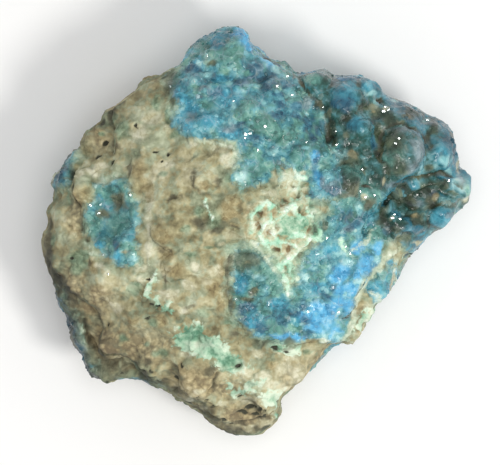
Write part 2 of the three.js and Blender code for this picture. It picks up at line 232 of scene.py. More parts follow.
# pale ridges along the borders of the druse, as strokes too
seams = [
    (0.7, [(19.6, -3.0), (18.4, -3.6), (17.6, -4.6), (16.2, -5.6), (15.3, -7.0), (14.6, -8.4), (14.2, -9.8)]),
    (0.6, [(14.2, -9.8), (13.9, -11.4), (13.6, -12.8), (13.2, -14.4), (12.0, -15.7)]),
    (0.5, [(9.2, -15.0), (10.6, -15.9), (12.0, -16.0), (13.4, -15.8)]),
    (0.5, [(16.4, -8.6), (17.4, -9.6), (18.6, -9.4), (19.8, -8.2)]),
    (0.4, [(15.6, -12.6), (16.6, -11.4), (17.6, -10.4)]),
    (0.5, [(-3.4, 11.8), (-5.0, 12.4), (-6.8, 12.5), (-8.6, 12.8)]),
    (0.25, [(13.2, -2.4), (14.6, -1.6), (15.8, -1.2), (16.6, 0.0)]),
    (0.4, [(-0.4, -1.6), (0.6, -2.8), (1.8, -4.2), (2.8, -5.4)]),
]
# a spot of matrix inside the druse
bareMatrix = [
    (7.6, 3.9), (8.4, 4.6), (9.6, 4.5), (10.9, 4.3), (10.2, 2.9), (9.5, 1.9), (8.6, 1.7), (7.9, 2.5),
]

# patches of one tone: x, y, radius across, radius up
tones = {
    "azure": [
        (-1.6, 27.3, 1.1, 1.7), (-1.1, 25.9, 0.9, 0.8), (1.6, 24.2, 1.4, 0.8), (8.8, 7.6, 0.7, 1.8),
        (8.2, 10.6, 0.6, 1.4), (9.9, -12.2, 2.4, 1.6), (11.6, -10.0, 1.9, 1.5), (13.3, -8.0, 1.8, 1.4),
        (14.8, -6.2, 1.4, 1.4), (8.2, -13.6, 1.5, 1.0), (11.2, -14.2, 1.6, 1.3), (15.5, -4.6, 1.6, 1.8),
        (12.0, -5.6, 1.3, 1.2), (14.2, -2.2, 1.6, 1.1), (17.0, -2.4, 1.0, 1.4), (3.6, -14.6, 2.0, 0.7),
        (6.0, -15.0, 1.4, 0.6), (-1.4, 28.2, 1.9, 2.2), (-0.9, 26.6, 0.9, 1.2), (8.8, -10.6, 1.6, 1.4),
        (13.0, -10.4, 1.4, 1.6), (7.2, -11.6, 1.6, 1.2), (8.2, -12.6, 1.6, 1.2), (12.2, -8.2, 1.6, 1.4),
        (11.0, -6.6, 1.2, 1.0), (2.2, 23.6, 1.4, 1.0), (12.6, 21.8, 1.6, 0.7), (10.2, -11.0, 1.8, 1.4),
    ],
    "teal": [
        (-5.0, 21.6, 1.8, 0.9), (-6.5, 15.4, 2.0, 1.4), (-10.2, 18.6, 1.5, 1.5), (-10.6, 16.0, 1.2, 1.4),
        (12.6, 19.4, 2.2, 2.4), (16.0, 20.7, 2.1, 1.3), (14.0, 15.2, 1.6, 1.4), (26.8, 11.0, 2.0, 2.4),
        (26.4, 2.3, 2.4, 1.7), (22.3, 0.5, 1.8, 0.9), (26.6, 8.0, 0.8, 0.6), (-0.6, -12.8, 1.4, 2.0),
        (-22.0, -2.0, 0.9, 0.7), (-22.2, 4.6, 0.8, 0.8), (-19.6, -3.4, 0.7, 1.0), (-9.4, 15.0, 1.4, 1.4),
        (10.4, -2.6, 1.5, 0.9), (-2.2, -7.6, 1.2, 1.6), (3.0, -10.2, 2.0, 1.0), (-10.8, 19.8, 1.0, 1.2),
        (-3.4, 19.0, 2.2, 2.0), (-3.6, 14.0, 2.0, 1.2), (28.4, 9.6, 1.4, 2.4), (13.6, 21.6, 2.4, 1.0),
        (-9.4, 17.2, 1.8, 1.6), (-8.4, 23.6, 1.6, 1.4), (-5.2, 28.0, 1.6, 1.2), (6.4, -12.4, 2.0, 1.2),
        (0.4, -14.6, 1.4, 0.8), (9.0, -8.0, 1.6, 1.2), (-5.6, 26.4, 1.6, 1.2), (28.2, 7.2, 1.4, 1.6),
        (28.4, 12.6, 1.4, 2.0), (24.6, 16.0, 1.8, 1.0), (16.8, -8.2, 1.4, 1.8),
    ],
    # navy: deep blue druse, and painted shade on the shaded left rims and flanks
    "navyAndPaintedShade": [
        (-8.8, 23.0, 1.9, 0.7), (-0.2, 23.2, 1.2, 1.1), (2.0, 22.3, 0.9, 1.5), (-5.6, 19.6, 1.7, 1.0),
        (-6.4, 22.0, 1.0, 0.5), (-2.2, 15.0, 1.0, 0.5), (3.2, 19.3, 1.1, 0.5), (3.2, 17.9, 0.7, 0.9),
        (5.4, 16.2, 1.3, 0.6), (-0.4, 13.1, 0.9, 0.7), (7.9, 13.2, 0.8, 1.0), (-0.8, 21.9, 1.2, 0.4),
        (11.4, 17.9, 0.9, 0.8), (16.5, 12.6, 0.6, 1.0), (27.2, 8.0, 0.9, 0.6), (11.2, 5.9, 1.0, 0.9),
        (13.8, 1.0, 1.0, 0.9), (18.6, 0.2, 0.9, 0.8), (5.2, -11.4, 1.6, 0.8), (7.0, -12.6, 1.0, 1.2),
        (7.4, -14.4, 0.9, 0.6), (10.0, -9.0, 0.9, 0.9), (10.9, -7.8, 0.7, 0.7), (-2.2, -11.6, 1.1, 1.8),
        (1.6, 20.6, 1.6, 1.0), (4.4, 20.8, 1.2, 1.0), (5.8, 17.6, 1.2, 1.0), (3.0, 16.2, 1.2, 0.8),
        (7.4, 15.4, 0.9, 1.4), (-1.2, -10.6, 1.2, 0.9), (0.6, -13.6, 1.2, 1.2), (12.6, 17.8, 1.6, 1.2),
        (9.2, 14.6, 0.8, 1.4), (8.4, 9.4, 0.7, 1.6), (3.6, -12.6, 0.8, 0.9), (-19.6, -1.8, 0.5, 1.4),
        (-27.8, 8.8, 1.4, 2.2), (13.6, 21.6, 2.0, 0.8), (-24.9, -17.4, 1.4, 2.4), (1.0, 21.6, 1.8, 1.2),
        (6.6, -10.2, 1.2, 0.9), (-2.2, 21.2, 1.8, 0.9),
    ],
    "aqua": [
        (-7.2, 24.9, 0.6, 0.6), (-7.9, 23.8, 0.45, 0.5), (-7.1, 22.1, 1.1, 0.7), (-8.8, 21.2, 0.6, 0.35),
        (-9.6, 24.2, 0.4, 0.3), (-4.0, 20.7, 0.5, 0.5), (-1.9, 19.9, 0.5, 0.4), (-0.4, 20.5, 0.9, 0.5),
        (5.0, 19.4, 0.8, 0.5), (0.9, 18.1, 0.6, 0.5), (-10.2, 17.3, 0.5, 0.5), (2.8, 23.0, 0.8, 0.8),
        (-3.1, 17.9, 0.7, 0.6), (2.2, 11.2, 1.0, 0.6), (-2.0, 7.8, 1.2, 0.8), (6.9, 11.8, 0.7, 0.4),
        (11.4, 10.8, 1.4, 1.0), (26.6, 10.2, 0.8, 0.7), (16.2, 19.4, 0.9, 0.5), (19.6, 18.6, 0.8, 0.4),
        (24.2, 15.9, 0.5, 0.5), (0.6, -6.4, 1.5, 0.6), (7.0, -6.4, 0.7, 0.7), (8.2, -4.9, 0.5, 0.5),
        (10.6, -4.8, 0.4, 0.4), (9.8, -8.3, 0.6, 0.4), (12.6, -8.6, 0.8, 0.5), (14.4, -6.8, 0.8, 0.6),
        (11.6, -11.3, 0.4, 0.5), (7.4, -11.2, 0.5, 0.4), (11.6, -14.6, 1.1, 0.9), (9.4, -14.6, 0.8, 0.6),
        (13.0, -4.4, 1.0, 0.5), (16.9, -3.6, 0.7, 0.5), (11.4, -3.2, 1.4, 0.35), (-3.0, -8.0, 0.35, 0.4),
        (5.3, -12.4, 0.4, 0.4), (6.6, -13.2, 0.5, 0.3), (-23.2, 6.4, 0.9, 0.7), (-16.9, 1.0, 0.8, 1.2),
        (-17.4, -3.6, 0.7, 0.9), (-21.5, -3.3, 0.4, 0.3), (-23.3, 3.9, 0.5, 0.35), (-20.6, -4.2, 0.8, 0.4),
        (-17.4, 6.4, 0.8, 0.8), (14.4, 3.6, 0.7, 1.0), (28.4, 6.8, 1.0, 1.0), (27.2, 8.6, 0.8, 0.6),
    ],
    "green": [
        (-4.6, 24.6, 2.6, 1.8), (-3.4, 26.6, 1.6, 1.2), (-7.0, 26.6, 1.6, 1.0), (-1.2, 17.7, 1.4, 1.2),
        (-7.2, 17.8, 1.8, 0.9), (2.2, 14.0, 1.3, 1.6), (5.4, 13.8, 1.5, 1.6), (5.6, 10.8, 1.3, 1.8),
        (1.0, 9.0, 2.2, 1.4), (-0.6, 8.4, 1.6, 1.2), (6.6, 18.6, 1.6, 1.4), (8.0, 21.4, 1.4, 0.9),
        (13.6, 8.8, 2.2, 1.8), (15.2, 6.0, 1.6, 1.6), (9.8, 9.4, 1.0, 1.4), (19.4, 10.0, 1.6, 1.6),
        (16.8, 5.4, 1.0, 1.4), (-1.6, -4.4, 2.0, 1.4), (0.8, -4.6, 1.4, 1.0), (9.4, -4.8, 1.1, 1.0),
        (9.0, -6.2, 0.9, 0.8), (2.0, -13.0, 1.2, 1.2), (1.4, -11.0, 1.2, 0.6), (5.8, -9.8, 1.2, 0.8),
        (3.0, -8.0, 1.4, 0.8), (17.8, -7.0, 2.0, 2.6), (-19.0, 7.0, 0.9, 0.8), (-23.6, 2.0, 1.0, 1.4),
        (-0.8, -8.4, 2.2, 2.2), (2.0, -10.0, 2.4, 1.4), (13.0, 5.0, 2.4, 2.2), (9.4, 0.6, 1.6, 1.4),
        (1.2, -14.0, 2.2, 1.4), (8.8, 14.4, 1.4, 3.0), (-11.4, 22.6, 1.0, 1.2), (-7.4, 26.2, 1.6, 1.2),
        (5.8, 19.0, 2.0, 1.4), (16.8, -7.8, 1.6, 2.0), (16.4, 4.4, 1.6, 2.0), (-17.4, 3.2, 1.0, 1.6),
        (-22.4, 4.4, 1.4, 1.4), (-17.6, 4.6, 0.8, 0.8), (29.6, 6.6, 0.8, 1.4), (22.8, 17.0, 1.6, 0.8),
        (10.0, -9.4, 1.0, 0.6), (-20.8, 5.2, 2.0, 1.8), (-19.4, 1.2, 2.0, 2.6), (-22.8, 1.0, 1.4, 1.8),
        (-20.6, -1.8, 1.8, 1.6), (-18.2, -2.8, 0.9, 1.2), (7.6, 12.0, 2.2, 1.6), (10.4, 11.6, 1.6, 1.4),
    ],
    "olive": [
        (5.4, 22.4, 0.4, 1.2), (6.3, 20.9, 0.6, 0.4), (7.5, 19.7, 0.4, 0.9), (8.6, 18.0, 0.5, 1.0),
        (9.6, 16.4, 0.6, 1.0), (10.4, 14.6, 0.8, 1.9), (11.0, 12.6, 0.6, 0.8), (14.6, 20.6, 0.5, 0.7),
        (15.4, 17.9, 1.5, 0.7), (17.6, 18.8, 0.9, 0.4), (18.6, 16.0, 1.3, 1.2), (16.9, 16.6, 1.2, 0.8),
        (22.0, 14.6, 1.2, 0.5), (17.4, 14.0, 0.7, 2.0), (17.6, 10.6, 0.5, 1.6), (18.4, 8.8, 0.9, 0.9),
        (24.4, 13.6, 0.7, 1.4), (25.2, 14.6, 0.8, 0.9), (24.4, 8.8, 1.0, 0.5), (20.0, 6.0, 0.9, 0.9),
        (21.6, 6.7, 1.3, 0.5), (23.8, 7.2, 1.5, 0.6), (26.2, 6.6, 1.5, 0.9), (27.8, 5.6, 0.8, 0.6),
        (20.4, 4.6, 1.0, 1.2), (25.4, 4.2, 1.6, 0.4), (18.4, 3.6, 0.8, 1.1), (17.4, 1.6, 1.0, 0.9),
        (19.6, 0.4, 1.0, 0.6), (21.0, -0.8, 1.6, 0.9), (15.4, 6.4, 0.8, 0.4), (14.9, 8.6, 0.6, 1.1),
        (-0.3, -8.3, 0.9, 0.7), (-1.0, -9.4, 1.4, 0.6), (-6.0, 23.6, 0.9, 0.6), (13.0, 10.2, 2.2, 1.6),
        (22.4, 17.0, 2.4, 1.0), (22.4, 2.4, 1.8, 0.7), (12.6, 16.2, 0.8, 0.5), (24.2, 5.6, 0.6, 0.4),
        (19.4, 12.4, 1.9, 2.6), (20.0, 9.4, 1.5, 1.5), (21.4, 6.6, 2.2, 0.8), (24.6, 7.0, 2.2, 0.7),
        (19.4, 4.9, 0.9, 1.4), (17.8, 2.6, 0.9, 2.2), (21.8, 4.6, 1.4, 0.7), (13.2, 6.4, 1.6, 1.4),
        (15.8, 3.8, 0.9, 1.0), (22.4, 1.6, 1.4, 0.7), (24.8, 15.8, 1.6, 0.7), (27.8, 13.8, 0.8, 1.0),
    ],
    "violet": [
        (-9.0, 23.4, 1.2, 0.6), (0.4, 22.6, 0.7, 1.0), (2.2, 20.8, 1.4, 0.5), (-7.4, 20.1, 1.0, 0.4),
        (-8.0, 19.0, 0.5, 0.5), (-3.6, 14.6, 1.2, 0.8), (9.6, 22.4, 1.4, 0.8), (10.4, 6.6, 1.2, 0.7),
        (20.2, 14.2, 1.5, 0.8), (22.6, 11.4, 1.5, 1.8), (21.6, 9.4, 1.2, 1.2), (19.4, 6.6, 1.1, 0.7),
        (27.8, 11.6, 0.5, 0.9), (16.1, 15.4, 0.5, 0.4), (11.9, 10.9, 0.7, 0.6), (22.6, 4.2, 1.3, 1.0),
        (12.8, 5.4, 0.9, 0.5), (9.3, 6.8, 0.5, 0.8), (29.0, 7.4, 0.6, 1.0), (13.2, 0.6, 1.0, 0.8),
        (-18.8, -4.9, 0.9, 0.5), (11.0, 21.0, 0.9, 0.5), (27.6, 2.6, 0.8, 0.6), (24.8, 5.2, 0.8, 0.5),
        (7.0, 18.2, 1.6, 1.4), (-9.2, 16.0, 1.0, 0.8),
    ],
    "rust": [
        (-4.2, 2.6, 1.9, 2.2), (-2.8, 4.4, 1.2, 1.2), (-3.2, 1.2, 1.2, 0.8), (-16.4, 8.6, 1.2, 2.0),
        (-15.9, 7.0, 0.9, 0.7), (0.6, 6.5, 1.0, 0.5), (3.7, 4.6, 0.9, 0.8), (0.8, 2.9, 0.5, 0.9),
        (1.9, -0.4, 0.5, 0.9), (2.7, -2.6, 0.7, 0.5), (4.7, -2.3, 1.0, 0.6), (5.1, -6.1, 0.3, 0.6),
        (9.0, 3.4, 1.0, 1.0), (13.4, 10.9, 0.9, 0.8), (21.6, 16.2, 0.9, 0.6), (-19.4, 4.4, 1.0, 0.9),
        (-21.6, 2.5, 0.9, 0.5), (-18.6, -3.0, 0.5, 0.4), (-8.4, -20.8, 2.4, 2.4), (-6.0, -20.6, 1.0, 1.6),
        (-10.2, -19.4, 1.4, 1.0), (-21.4, -16.6, 1.4, 0.9), (-20.0, -17.0, 1.0, 0.8), (-28.0, 5.8, 0.9, 1.2),
        (-24.4, 11.6, 1.6, 0.9), (-22.4, 14.2, 1.2, 0.6), (-13.0, -0.4, 1.6, 1.6), (-11.4, -5.4, 1.8, 1.2),
        (-22.4, -8.4, 1.6, 1.4), (-22.8, -5.0, 1.0, 1.2), (-28.4, -6.6, 0.7, 0.7), (-26.6, -8.8, 0.9, 0.6),
        (-7.2, 6.7, 1.2, 0.9), (8.2, -15.7, 1.0, 0.5), (2.4, -19.0, 0.8, 0.8), (13.6, -13.4, 0.6, 0.9),
        (14.6, -10.4, 0.5, 1.0), (-13.4, -12.6, 1.4, 1.0), (-17.2, -12.4, 1.6, 1.0), (-12.4, 19.0, 0.8, 0.9),
        (-23.4, -11.0, 1.2, 1.2), (-25.0, 5.0, 0.8, 1.2), (7.6, 0.3, 0.5, 0.7), (5.9, 3.0, 0.4, 1.2),
        (18.9, -6.8, 0.5, 0.8), (-1.8, -1.8, 1.3, 0.4), (-1.2, -4.4, 0.8, 0.5), (25.2, 4.9, 0.8, 0.3),
        (17.8, 11.0, 0.25, 0.9), (22.3, 2.4, 0.5, 0.4), (-11.8, -22.6, 0.8, 0.6), (-6.0, -8.0, 1.6, 1.2),
        (16.4, 17.0, 0.5, 0.4), (-3.6, -4.4, 0.9, 1.6), (-6.4, -22.4, 1.8, 1.6), (-11.0, -21.4, 1.8, 1.6),
        (-2.6, -26.6, 2.6, 1.4), (1.6, -27.0, 1.6, 1.2), (-15.4, 5.4, 1.2, 1.8), (-4.8, -9.6, 1.2, 2.4),
        (-4.6, -5.2, 1.0, 1.8), (-24.0, 5.2, 0.9, 1.4), (-12.8, -3.0, 1.6, 1.2), (19.4, -7.6, 1.0, 1.4),
        (-3.9, -7.0, 0.7, 3.0),
    ],
    # cream: pale spots of the matrix and druse; a few of them lighten shaded slopes as painted light
    "creamAndPaintedLight": [
        (-3.8, 10.2, 1.2, 1.2), (-5.2, 11.6, 1.4, 0.8), (-9.0, 12.2, 0.9, 0.8), (-8.2, 12.2, 0.8, 0.5),
        (-14.8, 16.2, 2.0, 1.4), (-16.6, 14.0, 1.8, 1.4), (-21.8, 9.4, 1.4, 0.7), (-22.4, 8.2, 0.7, 0.7),
        (-3.6, -0.4, 1.4, 0.7), (-1.8, -0.8, 1.4, 0.5), (0.2, -1.4, 0.7, 0.7), (1.4, -3.6, 0.8, 0.6),
        (-4.9, -1.7, 0.9, 0.5), (-15.2, -3.0, 0.9, 0.8), (-12.6, -8.8, 2.0, 0.9), (-16.4, -7.0, 0.9, 0.8),
        (-9.4, -7.8, 1.2, 0.9), (4.6, 8.4, 1.2, 0.7), (2.4, 5.6, 1.6, 0.8), (-7.0, -7.2, 1.0, 0.8),
        (19.4, -2.4, 0.9, 1.0), (18.4, -3.7, 0.6, 0.8), (17.4, -10.2, 0.9, 0.8), (15.6, -10.8, 0.8, 0.6),
        (14.2, -9.4, 0.3, 1.4), (13.5, -12.0, 0.3, 1.4), (18.9, -8.2, 0.6, 0.5), (19.6, -6.6, 0.8, 1.6),
        (6.2, -20.2, 2.2, 1.6), (3.9, -19.4, 1.0, 1.0), (1.0, -20.4, 1.4, 0.9), (-1.2, -19.8, 1.6, 0.8),
        (2.0, -21.4, 1.0, 0.8), (4.4, -22.2, 0.8, 0.6), (-1.0, -24.0, 1.6, 0.6), (2.0, -23.6, 0.9, 0.6),
        (-4.6, -24.6, 1.2, 0.5), (5.0, -18.2, 1.6, 0.6), (0.2, -17.0, 1.2, 0.7), (3.0, -16.9, 0.8, 0.5),
        (1.6, -27.6, 1.6, 0.9), (-1.0, -28.2, 1.2, 0.6), (28.8, 9.4, 0.4, 1.4), (29.8, 4.8, 0.6, 1.0),
        (-24.8, 8.2, 0.8, 1.0), (6.4, 8.2, 0.7, 0.4), (-12.8, 14.6, 0.7, 1.0), (-7.6, -25.4, 0.7, 0.4),
        (-15.2, 2.0, 0.8, 3.4), (-9.8, -24.0, 1.4, 0.6), (-12.2, 9.6, 1.0, 0.7), (-16.2, -5.2, 1.0, 0.6),
        (-8.4, -4.8, 1.0, 0.6), (-5.6, -5.4, 1.3, 1.1), (-15.4, -2.6, 0.8, 1.6), (-23.4, 8.8, 1.2, 0.9),
        (15.8, -12.0, 1.0, 1.8), (-19.8, -10.8, 1.2, 0.9), (-10.2, -11.2, 1.0, 0.8), (-21.8, -4.8, 1.0, 0.6),
        (-8.0, -22.4, 1.0, 0.6), (-12.4, -5.0, 0.8, 0.6), (-21.0, -5.8, 0.5, 0.4), (-9.9, -17.4, 0.9, 0.6),
        (21.4, 17.8, 0.5, 0.35), (18.3, 17.5, 0.6, 0.5), (-0.8, 3.4, 0.5, 0.5), (15.2, 4.9, 0.4, 0.5),
        (17.8, 7.4, 0.3, 0.6), (19.1, 2.0, 0.4, 0.5), (13.6, -14.8, 0.8, 0.5), (23.2, -1.6, 0.9, 0.4),
    ],
    # painted light: broad patches that lift the matrix's tone where its upper faces are lit; the painted
    # shade on the flanks lowers it
    "pale": [
        (-15.6, 16.4, 3.4, 3.8), (-9.4, 9.6, 4.4, 3.2), (-12.6, 6.4, 3.6, 2.8), (-6.4, 7.2, 2.6, 3.0),
        (-5.0, -2.0, 4.0, 2.0), (-16.0, 11.6, 3.0, 2.6), (-9.6, 1.6, 3.0, 3.0), (0.2, -21.6, 4.6, 2.2),
        (5.8, -19.8, 2.6, 2.0), (-8.6, -9.4, 4.6, 2.2), (17.6, -10.2, 2.0, 1.6), (15.8, -12.4, 1.6, 1.8),
        (2.6, 7.0, 2.0, 1.4), (-19.6, -8.6, 3.4, 1.8), (19.6, -3.0, 1.2, 1.2), (-16.6, 9.4, 3.4, 3.0),
        (-3.6, 9.8, 2.2, 1.8), (-8.0, -5.6, 4.4, 2.6), (-16.0, -3.6, 3.4, 2.4), (-20.8, -12.4, 2.0, 1.6),
    ],
    # painted light: spots that lift a tone where a slope is lit
    "light": [
        (-15.4, 0.0, 1.2, 4.0), (-15.0, 6.0, 1.4, 2.4), (-12.4, 12.0, 1.6, 2.6), (-18.0, 12.0, 1.8, 1.6),
        (-23.5, 9.0, 1.6, 1.6), (-16.4, 21.0, 1.6, 1.2), (-20.0, -11.0, 1.6, 1.4), (-16.0, -6.6, 4.0, 1.6),
        (-21.6, -5.0, 1.4, 1.0), (-8.0, -5.6, 2.0, 1.4), (-7.0, -12.0, 2.0, 1.4), (2.0, -22.0, 2.6, 2.4),
        (1.5, 0.8, 3.0, 1.4), (29.0, 7.0, 1.4, 2.4), (27.0, 4.0, 1.6, 1.4), (-3.5, 10.0, 1.6, 1.4),
        (-3.6, 16.4, 1.2, 1.6), (7.0, 21.0, 1.8, 1.4), (6.0, 18.0, 1.2, 1.2), (-5.0, 3.0, 2.0, 2.0),
        (7.0, -7.0, 1.4, 2.4), (16.6, -12.0, 1.0, 2.4), (18.0, 12.0, 1.6, 1.2), (23.0, 8.6, 1.6, 1.2),
        (29.4, 7.2, 1.2, 2.2), (-15.2, -1.6, 1.4, 2.2), (-8.6, -23.4, 2.6, 1.6), (-11.0, -21.6, 2.0, 1.4),
        (-22.4, -4.8, 1.2, 1.0), (5.4, -2.6, 2.4, 1.2), (-27.6, 2.0, 1.6, 2.4), (-18.2, 9.6, 1.8, 1.0),
        (-13.4, 8.6, 2.0, 2.0), (16.2, -12.4, 1.2, 2.0), (-15.2, 2.0, 1.2, 2.0), (-10.0, -11.2, 2.4, 1.6),
        (-14.0, -2.4, 2.0, 2.4), (-20.4, -6.6, 3.0, 1.2), (-27.0, -1.6, 1.8, 2.4), (-12.6, 13.0, 2.4, 2.0),
        (-14.6, 6.6, 2.4, 2.0), (-3.6, -19.8, 2.6, 1.2), (-6.4, 24.0, 1.4, 1.0), (-2.6, 22.8, 1.2, 0.8),
        (-3.2, 15.4, 1.4, 1.2), (-10.4, -22.6, 2.6, 2.0), (0.6, -24.6, 2.2, 1.4), (6.4, 17.6, 1.8, 1.6),
        (-22.6, 8.6, 1.6, 1.4), (5.0, 7.6, 1.6, 1.2), (-3.4, -28.0, 2.4, 1.4), (-15.2, -2.0, 1.4, 2.4),
        (-22.4, -3.6, 1.4, 1.4), (3.0, -19.6, 1.4, 1.2), (1.4, 24.6, 2.0, 1.4), (6.4, 22.6, 2.2, 1.2),
        (29.6, 6.6, 1.2, 1.6), (-10.4, 16.4, 1.2, 2.0), (-9.4, -24.0, 2.2, 1.2), (4.6, -17.2, 2.6, 1.2),
        (-24.2, 6.0, 1.6, 1.6), (-3.8, -5.4, 1.2, 2.0), (19.4, 2.6, 1.6, 1.2), (25.0, 2.8, 2.0, 1.2),
        (7.6, -16.6, 1.2, 1.0), (20.0, -6.0, 1.2, 2.4), (6.4, -10.0, 1.0, 1.0), (28.8, 5.2, 1.4, 3.0),
        (-15.6, 4.4, 1.4, 1.6),
    ],
    "crumbly": [
        (-9.0, -21.4, 5.0, 3.4), (-1.6, -26.4, 5.0, 3.4), (-15.6, -16.4, 6.0, 3.4), (5.4, -20.0, 3.6, 2.6),
        (-21.6, -15.6, 4.0, 4.4), (-3.6, -22.4, 3.4, 2.0), (14.8, -12.6, 1.4, 3.0), (-22.2, 12.8, 2.4, 2.4),
        (-26.0, -7.4, 2.4, 4.4), (-22.0, -10.0, 3.4, 3.0), (-25.6, 2.0, 1.6, 4.0),
    ],
    # painted shade: spots that lower a tone where a slope or rim lies in shade
    "paintedShadeSpots": [
        (-12.0, 22.4, 1.8, 1.8), (-5.6, 26.6, 2.4, 1.4), (-1.4, 21.4, 1.4, 1.0), (4.0, 14.6, 2.0, 1.4),
        (7.0, 12.0, 1.6, 1.4), (12.8, 6.8, 3.0, 3.0), (9.6, 0.8, 2.2, 2.0), (14.0, 2.0, 2.6, 1.8),
        (12.6, 17.0, 2.0, 3.0), (22.6, 0.4, 2.4, 1.4), (1.6, -10.6, 2.4, 1.6), (-20.2, 17.8, 2.2, 1.4),
        (3.0, 3.2, 1.2, 1.0), (0.0, 3.0, 1.6, 1.2), (1.4, -14.0, 2.8, 1.8), (-28.0, 8.6, 1.6, 2.4),
        (12.6, 21.6, 2.4, 1.2), (23.0, -2.0, 2.0, 1.0), (-12.6, 22.6, 2.4, 1.6), (-6.2, 26.6, 2.4, 2.0),
        (-12.4, -11.4, 2.0, 1.2), (28.2, 14.0, 1.6, 2.0), (22.0, 1.4, 2.6, 1.4), (15.4, 6.4, 2.4, 1.8),
        (3.6, -25.8, 1.0, 1.8), (-11.8, 20.4, 1.6, 2.4), (-21.4, 15.4, 1.6, 1.8), (0.0, -14.6, 2.4, 1.8),
        (-0.6, 28.6, 1.4, 1.0), (-4.2, 27.4, 2.4, 1.6), (2.0, -28.4, 2.4, 1.0), (-5.0, 25.6, 2.0, 1.2),
        (-2.0, -12.0, 1.6, 1.8), (9.0, -0.4, 1.6, 1.2), (-1.8, 21.0, 2.2, 1.4), (9.0, 12.0, 1.6, 1.4),
        (-4.0, -19.0, 1.6, 1.2), (9.6, 1.0, 1.6, 1.6), (4.4, -2.4, 2.0, 1.0), (3.4, -15.2, 2.2, 1.4),
        (-9.4, -14.4, 2.0, 1.4), (8.6, 1.0, 2.0, 1.6), (17.6, 6.8, 2.2, 1.6), (26.2, 10.2, 1.2, 1.2),
        (-19.8, 5.8, 1.8, 1.2), (-25.6, -3.6, 1.6, 1.4), (2.4, 14.0, 1.4, 2.0), (-2.6, -12.4, 1.6, 1.6),
        (16.0, 1.0, 1.2, 1.2), (23.0, 17.4, 2.4, 1.2), (27.0, 12.4, 1.4, 2.8), (-12.0, 2.0, 1.8, 1.8),
        (-9.0, -0.8, 2.4, 0.9), (-5.0, -1.8, 2.4, 0.9), (-3.0, -4.4, 1.2, 1.4), (-2.6, -9.0, 1.2, 3.0),
        (-1.6, -13.0, 1.8, 1.8), (2.0, -16.0, 3.6, 1.4), (-17.6, -15.6, 2.4, 1.4), (-24.4, 1.6, 1.2, 1.2),
        (-26.0, -3.6, 1.4, 1.2), (-23.4, 14.4, 1.6, 1.4), (16.0, -6.0, 1.6, 1.2), (-24.4, -12.0, 1.6, 3.4),
        (-12.4, -17.4, 1.4, 1.0), (-7.0, -25.4, 2.4, 1.0), (-20.4, -16.0, 3.0, 3.0), (-2.4, -27.6, 2.4, 1.4),
        (6.0, -21.6, 1.2, 1.2),
    ],
    # umber: olive-brown in hollows of the druse and matrix, and painted shade along some rims
    "umberAndPaintedShade": [
        (-4.4, 1.0, 1.4, 0.6), (-3.0, 1.6, 0.7, 0.5), (16.4, 17.4, 1.6, 0.7), (13.4, 10.7, 0.8, 0.7),
        (22.2, 3.4, 0.8, 0.5), (24.4, 4.6, 0.8, 0.4), (-19.3, 4.1, 1.4, 1.5), (-21.6, 2.4, 1.2, 0.8),
        (-1.4, -4.0, 2.5, 2.0), (17.7, 10.9, 0.25, 1.0), (21.0, 16.2, 0.9, 0.4), (24.0, 11.0, 0.3, 0.6),
        (-0.4, -8.2, 0.9, 0.5), (-1.6, -9.3, 1.2, 0.4), (20.4, 15.4, 0.7, 0.4), (10.2, 16.6, 0.4, 1.2),
        (9.0, 18.4, 0.4, 0.9), (-10.4, -20.4, 0.6, 0.4), (12.6, 13.6, 0.5, 0.5), (-7.0, 3.4, 0.9, 0.4),
        (-12.6, 21.4, 1.0, 2.2), (-11.8, 18.6, 0.5, 1.2), (13.6, 6.0, 1.3, 1.1), (-3.5, -4.8, 1.0, 2.0),
        (9.6, 0.8, 0.7, 0.9), (16.2, 4.2, 0.9, 1.0), (1.0, -15.8, 1.8, 0.6), (4.1, -25.8, 0.7, 2.0),
        (2.4, -28.4, 2.0, 0.7), (12.2, 5.2, 1.0, 0.8), (-23.9, -17.8, 1.2, 2.2), (-22.8, -20.2, 1.8, 1.4),
        (-19.4, -20.5, 2.4, 0.9), (-12.5, 22.7, 1.3, 1.5), (4.6, -15.5, 1.6, 0.6),
    ],
    # painted shade: dark patches along the shaded rims and in creases
    "shade": [
        (-27.2, -9.4, 1.4, 2.2), (-26.2, -12.4, 1.4, 2.6), (-24.8, -15.6, 1.2, 2.2), (-29.8, -2.6, 0.8, 4.4),
        (-20.6, 17.2, 0.8, 2.2), (-19.4, 18.6, 1.2, 0.7), (-22.0, 15.6, 0.5, 0.6), (-26.2, 7.2, 0.6, 2.6),
        (-25.6, 4.4, 0.5, 0.8), (-29.6, -0.4, 0.5, 3.2), (-29.8, -3.8, 0.7, 2.4), (-28.6, -7.6, 1.2, 1.6),
        (-26.8, -10.4, 1.4, 1.6), (-25.2, -13.4, 1.3, 2.6), (-24.2, -16.8, 1.4, 2.0),
        (-22.6, -18.6, 1.4, 1.2), (-20.6, -19.2, 1.8, 0.8), (-18.6, -19.6, 1.3, 0.9),
        (-21.2, -20.4, 1.4, 1.2), (-16.4, -20.4, 1.2, 0.6), (-13.6, -21.6, 1.6, 0.6),
        (-11.4, -22.8, 1.6, 0.6), (-8.6, -25.4, 1.6, 0.6), (-6.2, -27.2, 1.8, 0.6), (-3.4, -28.6, 2.0, 0.6),
        (-5.6, -21.4, 0.6, 1.8), (-6.4, -19.4, 1.0, 0.6), (-3.2, -14.6, 1.2, 0.7), (-11.6, 4.6, 1.2, 0.4),
        (-12.8, -2.6, 1.2, 0.3), (-8.8, 7.0, 0.35, 1.4), (-7.8, 1.4, 1.6, 1.0), (-5.6, 0.4, 1.2, 0.5),
        (-2.8, 0.8, 1.0, 0.35), (-5.4, 7.0, 0.6, 1.3), (2.8, 8.7, 0.6, 1.0), (-3.4, -5.2, 0.3, 1.4),
